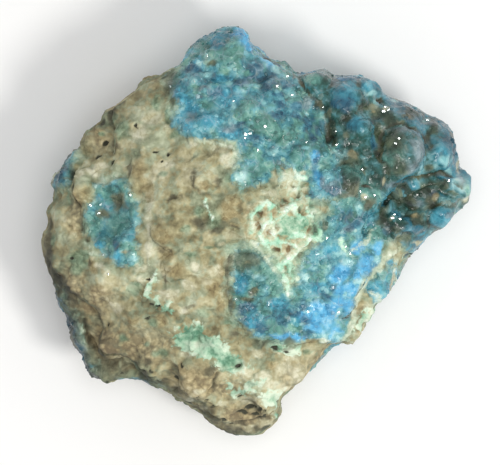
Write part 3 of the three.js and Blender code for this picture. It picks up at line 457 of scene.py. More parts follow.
        (-3.4, -9.0, 0.3, 1.8), (-2.6, -12.8, 0.5, 0.8), (-17.8, 9.0, 0.5, 1.4), (-23.6, -4.2, 0.4, 0.8),
        (-24.4, 0.6, 0.35, 1.8), (9.6, -15.6, 0.9, 0.3), (11.0, -16.2, 1.0, 0.3), (-20.0, 12.2, 0.8, 0.8),
        (-12.6, -7.0, 0.3, 0.9), (-9.2, -10.6, 1.0, 0.3), (10.4, 2.4, 0.9, 0.5), (-8.6, 8.6, 0.6, 0.6),
        (5.8, 5.6, 0.4, 0.5), (6.3, 6.8, 0.3, 0.5), (8.3, 0.0, 0.25, 0.7), (-11.4, 21.6, 1.4, 0.6),
        (-9.4, 25.8, 0.8, 0.8), (-15.6, -18.6, 0.8, 1.2), (0.2, -27.0, 0.8, 0.3), (-6.0, -25.0, 1.2, 0.25),
        (-6.6, -26.6, 1.6, 0.25), (-2.2, -27.6, 1.4, 0.3), (1.4, -28.4, 2.4, 0.7), (-20.4, -20.6, 1.8, 0.9),
        (-12.4, 22.6, 1.3, 1.3),
    ],
    "moss": [
        (-8.0, -15.2, 0.5, 1.1), (-8.0, -13.8, 0.7, 0.4), (-4.6, -19.4, 0.9, 0.8), (-21.8, 13.9, 0.7, 0.5),
        (-26.7, 5.2, 0.3, 1.0), (-5.8, 1.8, 1.4, 1.6), (-7.8, 2.8, 1.0, 0.8), (-4.0, 7.4, 0.9, 0.8),
        (-14.0, 18.4, 0.7, 1.6), (-12.4, 16.8, 0.6, 1.8), (-11.6, 13.8, 1.0, 0.8), (-24.6, -4.6, 1.0, 0.8),
        (-29.0, -1.2, 0.6, 1.4), (-17.2, -8.0, 1.2, 0.7), (-15.6, -15.6, 0.6, 0.4), (-18.4, 7.2, 0.8, 1.0),
        (-2.8, -18.9, 0.9, 0.7), (-12.8, 22.6, 1.4, 1.6), (-25.6, -3.8, 1.8, 1.5), (-24.4, -3.2, 1.3, 1.0),
        (-13.4, -17.2, 1.6, 1.0), (-25.4, -5.2, 1.2, 1.0), (-10.0, 0.6, 1.0, 0.6), (-13.2, 8.2, 0.9, 0.6),
        (-3.6, -13.0, 1.2, 0.6), (-14.6, -13.0, 1.0, 0.6), (-9.0, -3.4, 1.0, 0.5), (-6.6, -2.4, 0.8, 0.5),
        (15.6, -13.8, 1.0, 1.4), (16.6, -8.4, 0.7, 1.2), (7.4, -17.0, 0.8, 0.5), (-11.0, -24.0, 1.0, 0.4),
        (-18.8, -15.2, 0.8, 0.8), (-0.8, -21.6, 1.0, 0.5), (-27.6, -9.6, 1.0, 1.2), (-19.0, 14.6, 1.6, 2.0),
        (9.8, 3.9, 0.9, 0.5), (-7.4, -11.4, 1.2, 0.8),
    ],
    "hollows": [
        (0.6, 2.6, 0.4, 0.9), (1.9, -0.2, 0.55, 0.75), (2.6, -2.6, 0.85, 0.55), (4.7, -2.3, 1.1, 0.65),
        (3.8, 4.3, 0.8, 0.8), (5.9, 3.0, 0.4, 0.75), (3.0, 0.7, 0.4, 0.6), (7.8, 0.2, 0.6, 0.8),
        (5.1, -5.8, 0.3, 0.75), (6.5, -3.5, 0.5, 0.5), (5.2, 6.4, 0.3, 0.4), (6.0, 5.2, 0.3, 0.7),
        (5.5, -8.0, 0.4, 0.5), (8.3, 0.1, 0.35, 1.0), (0.2, 0.6, 0.5, 0.7),
    ],
    "pit": [
        (-16.9, 15.0, 0.3, 0.3), (-14.0, 11.7, 0.35, 0.25), (-12.2, 11.0, 0.35, 0.5),
        (-13.6, 10.0, 0.25, 0.2), (-21.4, 12.6, 0.5, 0.4), (-20.5, 11.6, 0.5, 0.4), (-22.6, 10.9, 0.5, 0.35),
        (-20.4, 10.1, 0.25, 0.3), (-26.2, -3.8, 0.5, 0.3), (-15.4, -7.0, 0.35, 0.3),
        (-14.5, -10.2, 0.45, 0.3), (-13.7, -10.7, 0.4, 0.25), (-2.6, -18.9, 0.3, 0.5),
        (-1.9, -25.7, 0.9, 0.5), (-0.9, -25.0, 0.5, 0.35), (0.1, -25.3, 0.55, 0.4), (-0.2, -26.2, 0.6, 0.3),
        (0.3, -27.0, 0.5, 0.3), (1.3, -26.6, 0.5, 0.45), (1.1, -25.5, 0.3, 0.25), (-4.4, -27.3, 0.6, 0.25),
        (-5.6, -24.8, 0.9, 0.2), (-11.3, -20.7, 0.5, 0.5), (-10.4, -18.8, 0.6, 0.25),
        (-15.0, -20.0, 0.35, 0.4), (2.7, -16.5, 0.5, 0.3), (4.4, -17.0, 0.8, 0.3), (-21.0, -21.5, 0.25, 0.2),
        (-7.0, -24.1, 0.3, 0.2), (-8.3, -23.4, 0.3, 0.25), (-18.9, -20.3, 0.3, 0.4), (22.0, 14.8, 0.6, 0.3),
        (24.1, 13.2, 0.3, 0.6), (15.5, 6.4, 0.5, 0.3), (17.7, 18.7, 0.6, 0.3), (-3.4, -27.9, 0.6, 0.2),
        (-2.4, -23.6, 0.35, 0.2), (-20.9, -13.0, 0.3, 0.25), (-15.4, -12.4, 0.3, 0.3),
    ],
}


# the lump's mesh and relief, in millimetres
lump = {
    "voxel": 0.33,               # size of the cells that the solid is remeshed in
    "smoothing": 4,
    "baseTo": 0.15,              # height under which the surface is the flat base

    "showFrom": (9, 15),         # height over which the flanks give way to the show face
    "faceFrom": (0.08, 0.34),    # and how upright its normals are
    "lean": (11, 0.42),          # above this height patterns are drawn out up the slopes, to this share
    "granules": [(3.2, 0.14, 1.7), (1.3, 0.11, 4.1), (0.75, 0.08, 9.4)],    # size, height, shift of the grain
    "popcorn": [(2.4, 0.18), (1.15, 0.09)],    # size and rise of the matrix's rounded lumps
    "cobbles": (2.9, 0.22),      # size of the cells and depth of the cracks between them
    "domes": [(1.9, 0.34), (0.85, 0.16)],      # size and rise of the druse's domes
    "crustRise": 0.25,
    "sunk": 0.25,                # keeps the relief about the solid's own surface
    "malachiteRise": 0.3,
    "malachiteVein": 1.5,        # size of the malachite's own veins
    "boxworkCell": 1.1,          # size of the hollows between the malachite's walls
    "boxworkDepth": 0.4,
    "pitDepth": 0.5,
    "seamRise": 0.3,
    # the dark line along a crack is painted shade
    "crackWidth": 0.35,          # of the dark line in a crack
    "crustEdge": (-0.3, 0.5),    # depth inside an outline over which crust and malachite set in
    "strandEdge": (-0.2, 0.3),
}
# how edges wander: the size, reach and shift of two noises
wanders = {
    "zones": [(2.4, 0.45, 0), (0.8, 0.225, 7)],
    "tones": [(2.0, 0.5, 13), (0.9, 0.3, 17)],
    "relief": [(2.2, 0.7, 3), (0.9, 0.3, 23)],
}
# globules and nodules, and hollows where the rise is negative: x, y, radius across, radius up, rise
nodules = [
    (12.8, 19.2, 2.5, 2.7, 0.7), (16.4, 20.6, 2.0, 1.5, 0.5), (14.4, 15.0, 1.9, 1.9, 0.5),
    (20.8, 11.1, 3.2, 4.0, 0.9), (27.0, 11.6, 2.0, 3.0, 0.6), (30.0, 6.0, 1.2, 2.2, 0.5),
    (26.6, 2.0, 2.3, 1.9, 0.7), (22.0, 0.8, 2.3, 1.5, 0.4), (16.8, 9.2, 1.2, 1.2, 0.3),
    (13.4, 10.9, 1.2, 1.1, 0.3), (13.6, 8.2, 2.0, 1.7, 0.5), (16.8, 5.6, 1.3, 1.7, 0.3),
    (8.6, 21.4, 2.0, 1.4, 0.5), (22.2, 16.6, 1.7, 1.1, 0.3), (18.6, 16.4, 1.3, 1.3, 0.3),
    (25.2, 14.8, 1.0, 1.0, 0.3), (14.3, 3.8, 1.3, 1.3, 0.3), (10.8, 10.6, 1.4, 1.2, 0.4),
    (9.8, 7.0, 1.4, 2.0, 0.4), (-1.9, 27.0, 1.9, 2.6, 0.5), (-4.4, 24.6, 2.8, 2.0, 0.5),
    (-1.1, 17.6, 1.6, 1.4, 0.6), (5.4, 14.4, 1.7, 2.0, 0.7), (2.2, 14.0, 1.4, 1.5, 0.5),
    (-6.5, 15.3, 1.9, 1.5, 0.4), (-10.3, 17.6, 1.6, 2.0, 0.4), (-5.6, 19.6, 1.8, 1.2, 0.4),
    (3.4, 18.2, 1.0, 1.2, 0.4), (5.7, 10.9, 1.4, 1.8, 0.5), (-7.4, 17.8, 1.7, 1.1, 0.4),
    (0.2, 22.8, 1.2, 1.4, 0.4), (-24.6, 6.9, 1.7, 3.0, 0.8), (-16.5, 8.5, 1.4, 2.3, 0.5),
    (-12.8, -0.3, 2.1, 2.3, 0.6), (-11.5, -5.3, 2.4, 1.9, 0.5), (-22.0, -6.6, 1.8, 3.0, 0.5),
    (-7.3, 6.8, 1.7, 1.8, 0.5), (-3.9, 2.9, 2.5, 2.8, 0.6), (-4.2, 10.2, 1.8, 1.8, 0.4),
    (-27.6, 2.6, 1.6, 2.6, 0.4), (-26.6, -1.0, 1.8, 1.6, 0.3), (4.5, 6.9, 1.6, 1.6, 0.5),
    (9.0, 3.3, 1.3, 1.3, 0.5), (-8.4, -20.6, 2.8, 3.0, 0.6), (-21.1, -20.3, 1.9, 1.5, 0.5),
    (-20.6, -16.4, 2.2, 1.4, 0.5), (5.9, -20.6, 2.6, 1.8, 0.4), (-21.8, 13.9, 0.8, 0.6, 0.3),
    (-23.0, 14.2, 1.4, 0.9, 0.3), (-6.4, -9.6, 2.0, 1.6, 0.3), (-16.6, -11.8, 2.0, 1.6, 0.3),
    (-12.4, -13.4, 2.0, 1.4, 0.3), (0.6, -20.4, 2.0, 1.2, 0.3), (18.0, -7.0, 1.6, 2.2, 0.4),
    (19.2, -2.8, 1.0, 1.6, 0.4), (-1.4, -4.3, 1.9, 1.5, -0.5), (-19.4, 4.4, 1.2, 1.2, -0.4),
    (-21.0, 1.0, 1.6, 2.4, -0.1), (23.4, 4.4, 2.8, 1.5, -0.6), (20.6, -0.8, 1.4, 0.8, -0.4),
    (17.2, 12.4, 0.8, 3.0, -0.4), (10.4, 14.4, 0.9, 2.4, -0.4), (18.4, 1.4, 1.0, 2.4, -0.4),
    (-3.0, -18.8, 1.4, 1.0, -0.3), (-8.0, -15.2, 0.8, 1.4, -0.4), (-6.6, 1.4, 2.2, 1.2, -0.4),
    (24.6, 12.6, 0.7, 2.4, -0.4),
]
# cracks and ledges: width, depth and the line that they follow
creases = [
    (0.9, 0.6, [(4.9, 24.0), (5.7, 22.0), (6.4, 20.8), (7.5, 19.9), (8.3, 18.5), (9.4, 17.0), (10.1, 15.6),
                (10.3, 13.2)]),
    (1.1, 0.8, [(-24.3, -12.6), (-23.7, -15.2), (-22.8, -17.0), (-21.6, -18.1), (-19.4, -18.5),
                (-17.9, -19.1), (-16.6, -20.2)]),
    (0.7, 0.5, [(-26.1, 9.4), (-26.3, 7.0), (-26.0, 5.0), (-25.4, 3.6), (-24.6, 1.0), (-24.0, -1.0)]),
    (0.35, 0.3, [(-14.8, 0.6), (-14.4, -1.2), (-13.2, -2.4), (-11.8, -2.6)]),
    (0.35, 0.3, [(-13.6, -4.2), (-13.2, -6.0), (-12.2, -7.4)]),
    (0.5, 0.45, [(-9.0, 7.6), (-8.6, 6.2), (-7.6, 5.2), (-6.2, 5.2)]),
    (0.45, 0.35, [(-12.6, 4.2), (-11.8, 4.9), (-10.4, 4.8)]),
    (0.5, 0.45, [(-8.6, -25.6), (-6.4, -26.5), (-4.6, -27.2)]),
    (0.45, 0.4, [(-7.4, -24.6), (-5.6, -25.0), (-4.2, -25.3)]),
    (0.45, 0.35, [(-4.0, -27.4), (-1.6, -27.2), (0.4, -26.9), (2.0, -26.4)]),
    (0.6, 0.5, [(-5.2, -20.0), (-5.5, -21.6), (-6.0, -23.0)]),
    (0.5, 0.5, [(8.3, 1.4), (8.4, 0.2), (8.7, -0.9)]),
    (0.6, 0.4, [(8.4, -15.9), (6.4, -16.0), (5.0, -16.4), (2.6, -16.6)]),
    (0.6, 0.4, [(-3.6, -3.4), (-3.7, -6.0), (-3.8, -9.0), (-3.2, -12.0), (-1.4, -14.4)]),
    (0.8, 0.4, [(20.2, 7.0), (22.0, 7.9), (24.2, 8.0), (26.0, 8.4), (27.8, 7.8)]),
    (0.7, 0.3, [(24.4, 0.4), (24.2, 2.0), (24.8, 3.6), (26.6, 4.2), (28.4, 4.0)]),
    (0.7, 0.3, [(17.6, 9.8), (17.4, 12.4), (18.0, 14.6), (20.0, 15.6), (22.4, 14.8), (24.0, 13.4)]),
    (0.7, 0.5, [(-20.4, 18.6), (-21.0, 16.4), (-20.6, 14.8)]),
]
# where the matrix is smoother
calmFaces = [
    [(-21.0, 19.0), (-13.0, 22.0), (-12.0, 13.0), (-17.0, 10.6), (-19.6, 13.0)],
    [(-25.0, -10.6), (-16.0, -12.4), (-13.0, -18.6), (-22.0, -17.8)],
    [(-7.0, -23.6), (4.0, -23.6), (4.4, -28.0), (-1.0, -30.0), (-7.0, -26.4)],
]
# glassy ridges: width, rise, line
arches = [
    (1.7, 1.1, [(18.6, 3.4), (19.6, 4.9), (21.6, 6.2), (23.6, 6.9), (25.6, 7.0), (27.4, 6.4), (28.8, 5.2)]),
    (1.2, 0.5, [(28.4, 12.4), (28.9, 10.6), (29.4, 8.8), (30.2, 7.4)]),
]
# patches of tone round the flanks and beneath: size, threshold, shift
flankTones = {
    "teal": (6.2, 0.02, 31.0), "azure": (8.0, 0.26, 37.0), "navyAndPaintedShade": (4.4, 0.1, 41.0),
    "green": (5.8, 0.04, 43.0), "olive": (4.0, 0.2, 47.0), "violet": (3.6, 0.3, 53.0),
    "rust": (4.6, 0.3, 59.0), "creamAndPaintedLight": (4.4, 0.4, 61.0), "moss": (6.4, 0.12, 67.0),
    "aqua": (2.6, 0.38, 73.0), "pit": (1.6, 0.48, 79.0), "crumbly": (7.0, -0.05, 83.0),
}
# crust, malachite and painted shade on the flanks; a range runs from where an effect sets in to where it is
# full
flanks = {
    "crustPatches": (9, 3.3, 12, -1),     # size, shift, swing and level of the patches
    "mintPatches": (7, 8.1, 6, -3),
    "crustKept": 0.4,                     # how far the crust keeps to its outlines
    "crustToRight": 0.06,                 # more crust for each millimetre to the right
    "crustBehind": (8, 22, 2.5),          # range of x + y / 2, and how much more crust there is behind
    "steep": (0.8, 0.3),                  # range of the normal's upright part
    # painted shade: a darker colour on steep faces that look to the left, and on the wing's steep upper right
    # flank
    "paintedShadeFacing": (0.35, 0.85),          # range of how far a face looks to the left
    "paintedShadeHeight": (26, 22),
    "paintedShadeSide": (-4, -14),               # range of x + y / 2
    "paintedShadeFront": (2, -8, 0.6),           # range of y, and the share of the grime that follows it
    "paintedShadePatches": (5.0, 93.0, 0.3),     # size, shift and share of the patches
    "paintedShadeCorner": (-17, -12, 0.35),      # range of x, and how much less painted shade there is past it
    "paintedShadeDarker": (3.2, 91.0, 0.6),       # size, shift and share of the darker patches in it
    "paintedShadeOnLight": 1.5,
    "wingFacing": (0.3, 0.7),             # range of how far a face looks to the upper right
    "wingSide": (16, 20),                 # range of x
    "wingPaintedShade": 0.4,
    "tealSide": (12, 20),                 # range of x
    "tealPatches": (3.0, 97.0),           # size and shift
    "tipAcross": (-5, -2),                # ranges of x and y for the blue tip
    "tipUp": (23, 28),
    "tipPatches": (3.4, 95.0),
}


def remeshedLump():
    # the solid's surface in small even faces, smoothed
    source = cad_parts["malachite_specimen"]
    mesh = source.data.copy()
    bm = bmesh.new()
    bm.from_mesh(mesh)
    bmesh.ops.remove_doubles(bm, verts=bm.verts, dist=0.001 * mm)
    bm.to_mesh(mesh)
    bm.free()
    rough = bpy.data.objects.new("rough", mesh)
    bpy.context.scene.collection.objects.link(rough)
    remesh = rough.modifiers.new("Remesh", "REMESH")
    remesh.mode = "VOXEL"
    remesh.voxel_size = lump["voxel"] * mm
    smooth = rough.modifiers.new("Smooth", "SMOOTH")
    smooth.iterations = lump["smoothing"]
    made = bpy.data.meshes.new_from_object(rough.evaluated_get(bpy.context.evaluated_depsgraph_get()))
    bpy.data.objects.remove(rough)
    bm = bmesh.new()
    bm.from_mesh(made)
    for vert in bm.verts:
        if vert.co.z < lump["baseTo"] * mm:
            vert.co.z = 0
    underside = [face for face in bm.faces if all(vert.co.z == 0 for vert in face.verts)]
    bmesh.ops.dissolve_faces(bm, faces=underside, use_verts=False)
    bm.to_mesh(made)
    bm.free()
    made.name = "limonite_lump"
    made.materials.clear()
    return made


def wandered(points, kind):
    return sum(wanderAt(points, size, reach, shift) for size, reach, shift in wanders[kind])


def drawnOut(points, ease=2):
    # patterns on the show face are sized as seen from above
    start, share = lump["lean"]
    above = points[:, 2] - start
    eased = np.where(above > 0, above - (1 - share) * above ** 2 / (above + ease), above)
    return np.column_stack([points[:, 0], points[:, 1], start + eased])


def shadeAndTintFlanks(fields, points, normals):
    # painted shade on the steep left side and on the wing's steep upper right flank, blue crust round the
    # wing and the tip
    x, y, z = points.T
    facingX, facingY, upright = normals.T
    steep = smoothStep(*flanks["steep"], upright)
    toLeft = np.maximum(-0.75 * facingX, -0.7 * facingX - 0.6 * facingY)
    shadedFlank = steep * smoothStep(*flanks["paintedShadeFacing"], toLeft) * smoothStep(*flanks["paintedShadeHeight"], z)
    start, full, share = flanks["paintedShadeFront"]
    shadedFlank *= smoothStep(*flanks["paintedShadeSide"], x + 0.5 * y) * (1 - share + share * smoothStep(start, full, y))
    size, shift, share = flanks["paintedShadePatches"]
    start, full, less = flanks["paintedShadeCorner"]
    shadedFlank *= (1 - share + share * smoothStep(-0.15, 0.15, noiseAt(points, size, shift))
              - less * smoothStep(start, full, x))
    toUpperRight = 0.6 * (facingX + facingY)
    behind = steep * smoothStep(*flanks["wingFacing"], toUpperRight) * smoothStep(*flanks["wingSide"], x)
    shadedFlank = np.maximum(shadedFlank, flanks["wingPaintedShade"] * behind)
    fields["paintedShade"] = shadedFlank
    # the painted shade lowers the broad painted light there
    fields["pale"] -= flanks["paintedShadeOnLight"] * shadedFlank
    size, shift, share = flanks["paintedShadeDarker"]
    shaded = share * shadedFlank * smoothStep(-0.2, 0.2, noiseAt(points, size, shift))
    rightSide = steep * smoothStep(*flanks["tealSide"], x)
    rightSide *= smoothStep(-0.3, 0.0, noiseAt(points, *flanks["tealPatches"]))
    tip = steep * smoothStep(*flanks["tipUp"], y) * smoothStep(*flanks["tipAcross"], x)
    tip *= smoothStep(-0.25, 0.1, noiseAt(points, *flanks["tipPatches"]))
    # the painted shade also lays the shade and navy tones on those faces
    for tone, strength in (("shade", shaded), ("navyAndPaintedShade", shadedFlank), ("teal", rightSide), ("teal", behind),
                           ("azure", tip)):
        fields[tone] = np.maximum(fields[tone], strength)


def surfaceFields(points, normals):
    # how strongly each mineral and tone shows at each point of the surface
    upright = normals[:, 2]
    wander = wandered(points, "zones")
    x, y = points[:, 0] + wander[:, 0], points[:, 1] + wander[:, 1]
    show = smoothStep(*lump["showFrom"], points[:, 2] + 3 * wander[:, 2])
    face = show * smoothStep(*lump["faceFrom"], upright + 0.2 * wander[:, 2])

    crust = np.max([depthInside(outline, x, y) for outline in zones.values()], axis=0)
    bare = np.maximum(depthInside(bareMatrix, x, y), depthInside(boxwork, x, y) - 0.3)
    crust = np.minimum(crust, -bare)
    size, shift, swing, level = flanks["crustPatches"]
    flankCrust = flanks["crustKept"] * crust + noiseAt(points, size, shift) * swing + level
    flankCrust += flanks["crustToRight"] * points[:, 0]
    start, full, more = flanks["crustBehind"]
    flankCrust += more * smoothStep(start, full, points[:, 0] + 0.5 * points[:, 1])
    mint = np.max([depthInside(outline, x, y) for outline in malachite.values()], axis=0)
    size, shift, swing, level = flanks["mintPatches"]
    flankMint = noiseAt(points, size, shift) * swing + level
    strands = np.max([depthInStroke(line, width, x, y) for width, line in net], axis=0)
    seam = np.max([depthInStroke(line, width, x, y) for width, line in seams], axis=0)
    crack = np.max([depthInStroke(line, lump["crackWidth"], x, y) for _, _, line in creases], axis=0)
    fields = {
        "crust": crust * show + flankCrust * (1 - show),
        "mint": mint * face + flankMint * (1 - face),
        "strands": strands * show - (1 - show),
        "boxwork": depthInside(boxwork, x, y) * show - (1 - show),
        "wing": depthInside(wingOutline, x, y) + 2 * noiseAt(points, 5, 4.4) * (1 - face),
        "seam": seam * face - (1 - face),
        "crack": crack * face - (1 - face),
        "face": face,
    }
    near, second = cellsAt(points + wanderAt(points, 1.6, 0.5, 5), lump["boxworkCell"], 2.3)
    fields["wall"] = second - near
    wander = wandered(points, "tones")
    x, y = points[:, 0] + wander[:, 0], points[:, 1] + wander[:, 1]
    for tone, spots in tones.items():
        fields[tone] = spotsAt(spots, x, y) * face
        if tone in flankTones:
            size, threshold, shift = flankTones[tone]
            patches = smoothStep(threshold, threshold + 0.3, noiseAt(points, size, shift))
            fields[tone] = np.maximum(fields[tone], patches * (1 - face))
    shadeAndTintFlanks(fields, points, normals)
    return fields, face


def grainOf(points, fields):
    # the relief of earthy matrix and of druse
    crust = smoothStep(*lump["crustEdge"], fields["crust"])
    granules = sum(height * noiseAt(points, size, shift) * 2 for size, height, shift in lump["granules"])
    popcorn = sum(rise * (0.5 - cellsAt(points, size, 6.1)[0] ** 2 * 2) for size, rise in lump["popcorn"])
    popcorn *= smoothStep(-0.25, 0.2, noiseAt(points, 7, 2.9))
    size, depth = lump["cobbles"]
    near, second = cellsAt(points + wanderAt(points, 2.4, 0.8, 15), size, 7.7)
    cracked = smoothStep(-0.05, 0.15, noiseAt(points, 6, 12.9))
    popcorn -= depth * (1 - smoothStep(0.0, 0.16, second - near)) * cracked
    glassy = smoothStep(-0.8, 0.8, fields["wing"])
    domes = sum(rise * (0.7 - cellsAt(points, size)[0] ** 2 * 2) for size, rise in lump["domes"])
    druse = lump["crustRise"] + (1 - 0.6 * glassy) * domes
    calm = np.max([depthInside(outline, points[:, 0], points[:, 1]) for outline in calmFaces], axis=0)
    calm = smoothStep(-1.0, 1.5, calm)
    earth = granules * (1 - 0.5 * calm) + popcorn * (1 - calm)
    return earth * (1 - crust) + druse * crust


def reliefOf(place, fields, show):
    # how far each point stands out from the smooth lump
    points = drawnOut(place)
    mint = smoothStep(*lump["crustEdge"], fields["mint"])
    strands = smoothStep(*lump["strandEdge"], fields["strands"])
    relief = grainOf(points, fields) * show + grainOf(place, fields) * (1 - show)
    veins = 1 - np.abs(noiseAt(points, lump["malachiteVein"], 2.2)) * 5
    raised = np.maximum(mint * (0.3 + np.clip(veins, -0.6, 1)), 1.4 * strands)
    relief = relief * (1 - 0.7 * np.maximum(mint, strands)) + lump["malachiteRise"] * raised
    boxed = smoothStep(-0.4, 0.4, fields["boxwork"]) * smoothStep(0.12, 0.5, fields["wall"])
    relief -= lump["boxworkDepth"] * (0.3 * boxed + fields["hollows"])
    relief += lump["seamRise"] * smoothStep(-0.3, 0.3, fields["seam"])

    wander = wandered(points, "relief")
    x, y = points[:, 0] + wander[:, 0], points[:, 1] + wander[:, 1]
    domes, hollows = np.zeros(x.shape), np.zeros(x.shape)
    for middleX, middleY, across, up, rise in nodules:
        dome = np.clip(1 - ((x - middleX) / across) ** 2 - ((y - middleY) / up) ** 2, 0, 1) ** 0.65
        if rise > 0:
            domes = np.maximum(domes, rise * dome)
        else:
            hollows = np.minimum(hollows, rise * smoothStep(0, 1, dome))
    cracks, swells = np.zeros(x.shape), np.zeros(x.shape)
    for width, depth, line in creases:
        inside = depthInStroke(line, width / 2, x, y)
        cracks = np.maximum(cracks, depth * smoothStep(-width / 2, width / 2, inside))
    for width, rise, line in arches:
        swells = np.maximum(swells, rise * smoothStep(0, width / 2, depthInStroke(line, width, x, y)))
    return relief + (domes + hollows + swells - cracks - lump["pitDepth"] * fields["pit"]) * show


def grainShare(points, fields):
    # how thickly the druse's crystals stand
    crust = smoothStep(-0.2, 0.6, fields["crust"])
    mint = np.maximum(smoothStep(-0.6, 0.2, fields["mint"]), smoothStep(-0.3, 0.2, fields["strands"]))
    wing = smoothStep(-0.6, 1.2, fields["wing"])
    tall = [(x, y, across, up) for x, y, across, up, rise in nodules if rise > 0.5]
    globules = spotsAt(tall, points[:, 0], points[:, 1], 0.5, 1.1)
    return crust * (1 - mint) * (1 - 0.8 * wing) * (1 - globules * wing) * smoothStep(1, 3, points[:, 2])


def hollowOf(mesh, relief, rounds=24):
    # how far a point lies below its surroundings
    ends = np.empty(len(mesh.edges) * 2, np.int32)
    mesh.edges.foreach_get("vertices", ends)
    first, second = ends.reshape(-1, 2).T
    count = np.bincount(ends, minlength=len(relief))
    around = relief
    for _ in range(rounds):
        total = np.bincount(first, around[second], len(relief))
        total += np.bincount(second, around[first], len(relief))
        around = (around + total) / (1 + count)
    return around - relief


def heldInBox(points, give=1.0, margin=0.02):
    # eases points that near the sides and the top of the solid's box back inside it
    low, high = [np.array(corner) / mm for corner in cadBox]
    for axis in range(3):
        past = points[:, axis] - (high[axis] - margin - give)
        points[:, axis] -= np.where(past > 0, past - give * np.tanh(past / give), 0)
        past = (low[axis] + margin + give) - points[:, axis]
        if axis < 2:
            points[:, axis] += np.where(past > 0, past - give * np.tanh(past / give), 0)
    return points


def placesOf(mesh):
    # a mesh's points in millimetres
    places = np.empty(len(mesh.vertices) * 3)
    mesh.vertices.foreach_get("co", places)
    return places.reshape(-1, 3) / mm


def addPiece(name, mesh):
    # a finished piece, which stands for the lump's node
    piece = bpy.data.objects.new(name, mesh)
    bpy.context.scene.collection.objects.link(piece)
    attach(piece, "root")
    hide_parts("malachite_specimen")
    print(name + ":", len(mesh.polygons), "faces")
    return piece


def buildLump():
    mesh = remeshedLump()
    points = placesOf(mesh)
    normals = np.empty(len(points) * 3)
    mesh.vertex_normals.foreach_get("vector", normals)
    normals = normals.reshape(-1, 3)
    flat = drawnOut(points) * mm
    fields, show = surfaceFields(points, normals)
    relief = reliefOf(points, fields, show)
    clearOfBase = smoothStep(0.2, 1.6, points[:, 2])
    points = points + normals * ((relief - lump["sunk"]) * clearOfBase)[:, None]
    points = heldInBox(points)
    points[:, 2] = np.where(points[:, 2] < lump["baseTo"], 0, points[:, 2])
    mesh.vertices.foreach_set("co", (points * mm).ravel())
    # how sunk each point is; the material darkens the hollows by it as painted shade
    fields["hollow"] = hollowOf(mesh, relief)
    fields["tint"] = np.zeros(len(points))
    fields["druseGrains"] = grainShare(points, fields)
    fields["earthGrains"] = 0.9 - fields["druseGrains"]
    fields["earthGrains"] *= smoothStep(-0.1, 0.3, noiseAt(points, 3.1, 5.5)) * smoothStep(1, 3, points[:, 2])
    for name, values in fields.items():
        mesh.attributes.new(name, "FLOAT", "POINT").data.foreach_set("value", values)
    # patterns are laid on the smooth lump, so that the relief doesn't stretch them
    mesh.attributes.new("flat", "FLOAT_VECTOR", "POINT").data.foreach_set("vector", flat.ravel())
    mesh.shade_smooth()
    return addPiece("limonite_lump", mesh)


# limonite with chrysocolla and malachite: earthy matrix is dull and granular, the druse glitters, and the
# globules of the wing are glassy. Each colour runs from its hollows to its heights
stone = {
    "tan": [(0.24, "#665f44"), (0.4, "#8f8764"), (0.52, "#a9a27c"), (0.64, "#bfb994"), (0.8, "#dad6b6")],
    "greyGreen": [
        (0.24, "#555f49"), (0.4, "#7b846a"), (0.52, "#979e81"), (0.64, "#afb698"), (0.8, "#cfd6ba"),
    ],
    "rust": [(0.26, "#6a5c3f"), (0.45, "#90825c"), (0.58, "#a89a70"), (0.75, "#c8bc92")],
    "creamAndPaintedLight": [(0.3, "#aea987"), (0.5, "#cbc8a8"), (0.7, "#e8e5cc")],
    # painted shade: the dark colour laid along shaded rims, in creases and along cracks
    "shade": [(0.3, "#3a392e"), (0.5, "#565240"), (0.7, "#787158")],
    # painted shade: the colour multiplied over the shaded flanks
    "paintedShade": "#56646a",
    "moss": [(0.3, "#4d6a52"), (0.5, "#7a957a"), (0.7, "#a4b99a")],
    "crumbly": [(0.3, "#7d7057"), (0.45, "#ab9c77"), (0.58, "#cabb92"), (0.75, "#e8dfbc")],
    "druse": [(0.2, "#24505f"), (0.36, "#3b7886"), (0.5, "#5597a2"), (0.64, "#7ab6bc"), (0.82, "#b8dcd8")],
    "azure": [(0.25, "#3884ae"), (0.42, "#4ea3d0"), (0.55, "#66bae2"), (0.78, "#b0e2f2")],
    "teal": [(0.25, "#1f6076"), (0.42, "#3589a2"), (0.55, "#4ea8c0"), (0.78, "#98d4e0")],
    "navyAndPaintedShade": [(0.3, "#1c4058"), (0.5, "#30627a"), (0.7, "#4c879c")],
    "aqua": [(0.3, "#74b4ba"), (0.5, "#9bd0d0"), (0.7, "#d0f0ea")],
    "green": [(0.28, "#3c6a60"), (0.45, "#598e84"), (0.58, "#71a698"), (0.75, "#a0c6b0")],
    "wing": [(0.25, "#142e26"), (0.4, "#24463e"), (0.5, "#325e59"), (0.6, "#457b80"), (0.75, "#80afae")],
    "olive": [(0.3, "#263024"), (0.5, "#3d4a3a"), (0.7, "#687052")],
    "violet": [(0.3, "#4a5660"), (0.5, "#74878e"), (0.7, "#abb8be")],
    "mint": [(0.3, "#55876c"), (0.42, "#88b496"), (0.53, "#b4d2b6"), (0.68, "#dcead2")],
    "strand": [(0.3, "#9ed6b6"), (0.5, "#c8ecd2"), (0.7, "#f4fbee")],
    "hollow": [(0.3, "#6d5c41"), (0.5, "#98825f"), (0.7, "#b39e78")],
    # umber, also used as painted shade along some rims
    "umberAndPaintedShade": [(0.3, "#48503f"), (0.5, "#666b55"), (0.7, "#8a8b70")],
    "lace": "#bcd2e0",
    "bed": [(0.3, "#b3a47e"), (0.5, "#d2cca6"), (0.7, "#ecead0")],
    "fringe": [(0.3, "#8fb09c"), (0.5, "#b2c9ae"), (0.7, "#dde8d2")],
    "seam": [(0.3, "#b3c2a8"), (0.5, "#d2dcc2"), (0.7, "#f0f3e4")],
    "pit": "#4a4b3d",
    # painted shade: the colour multiplied into the hollows
    "sunk": "#665e48",
}
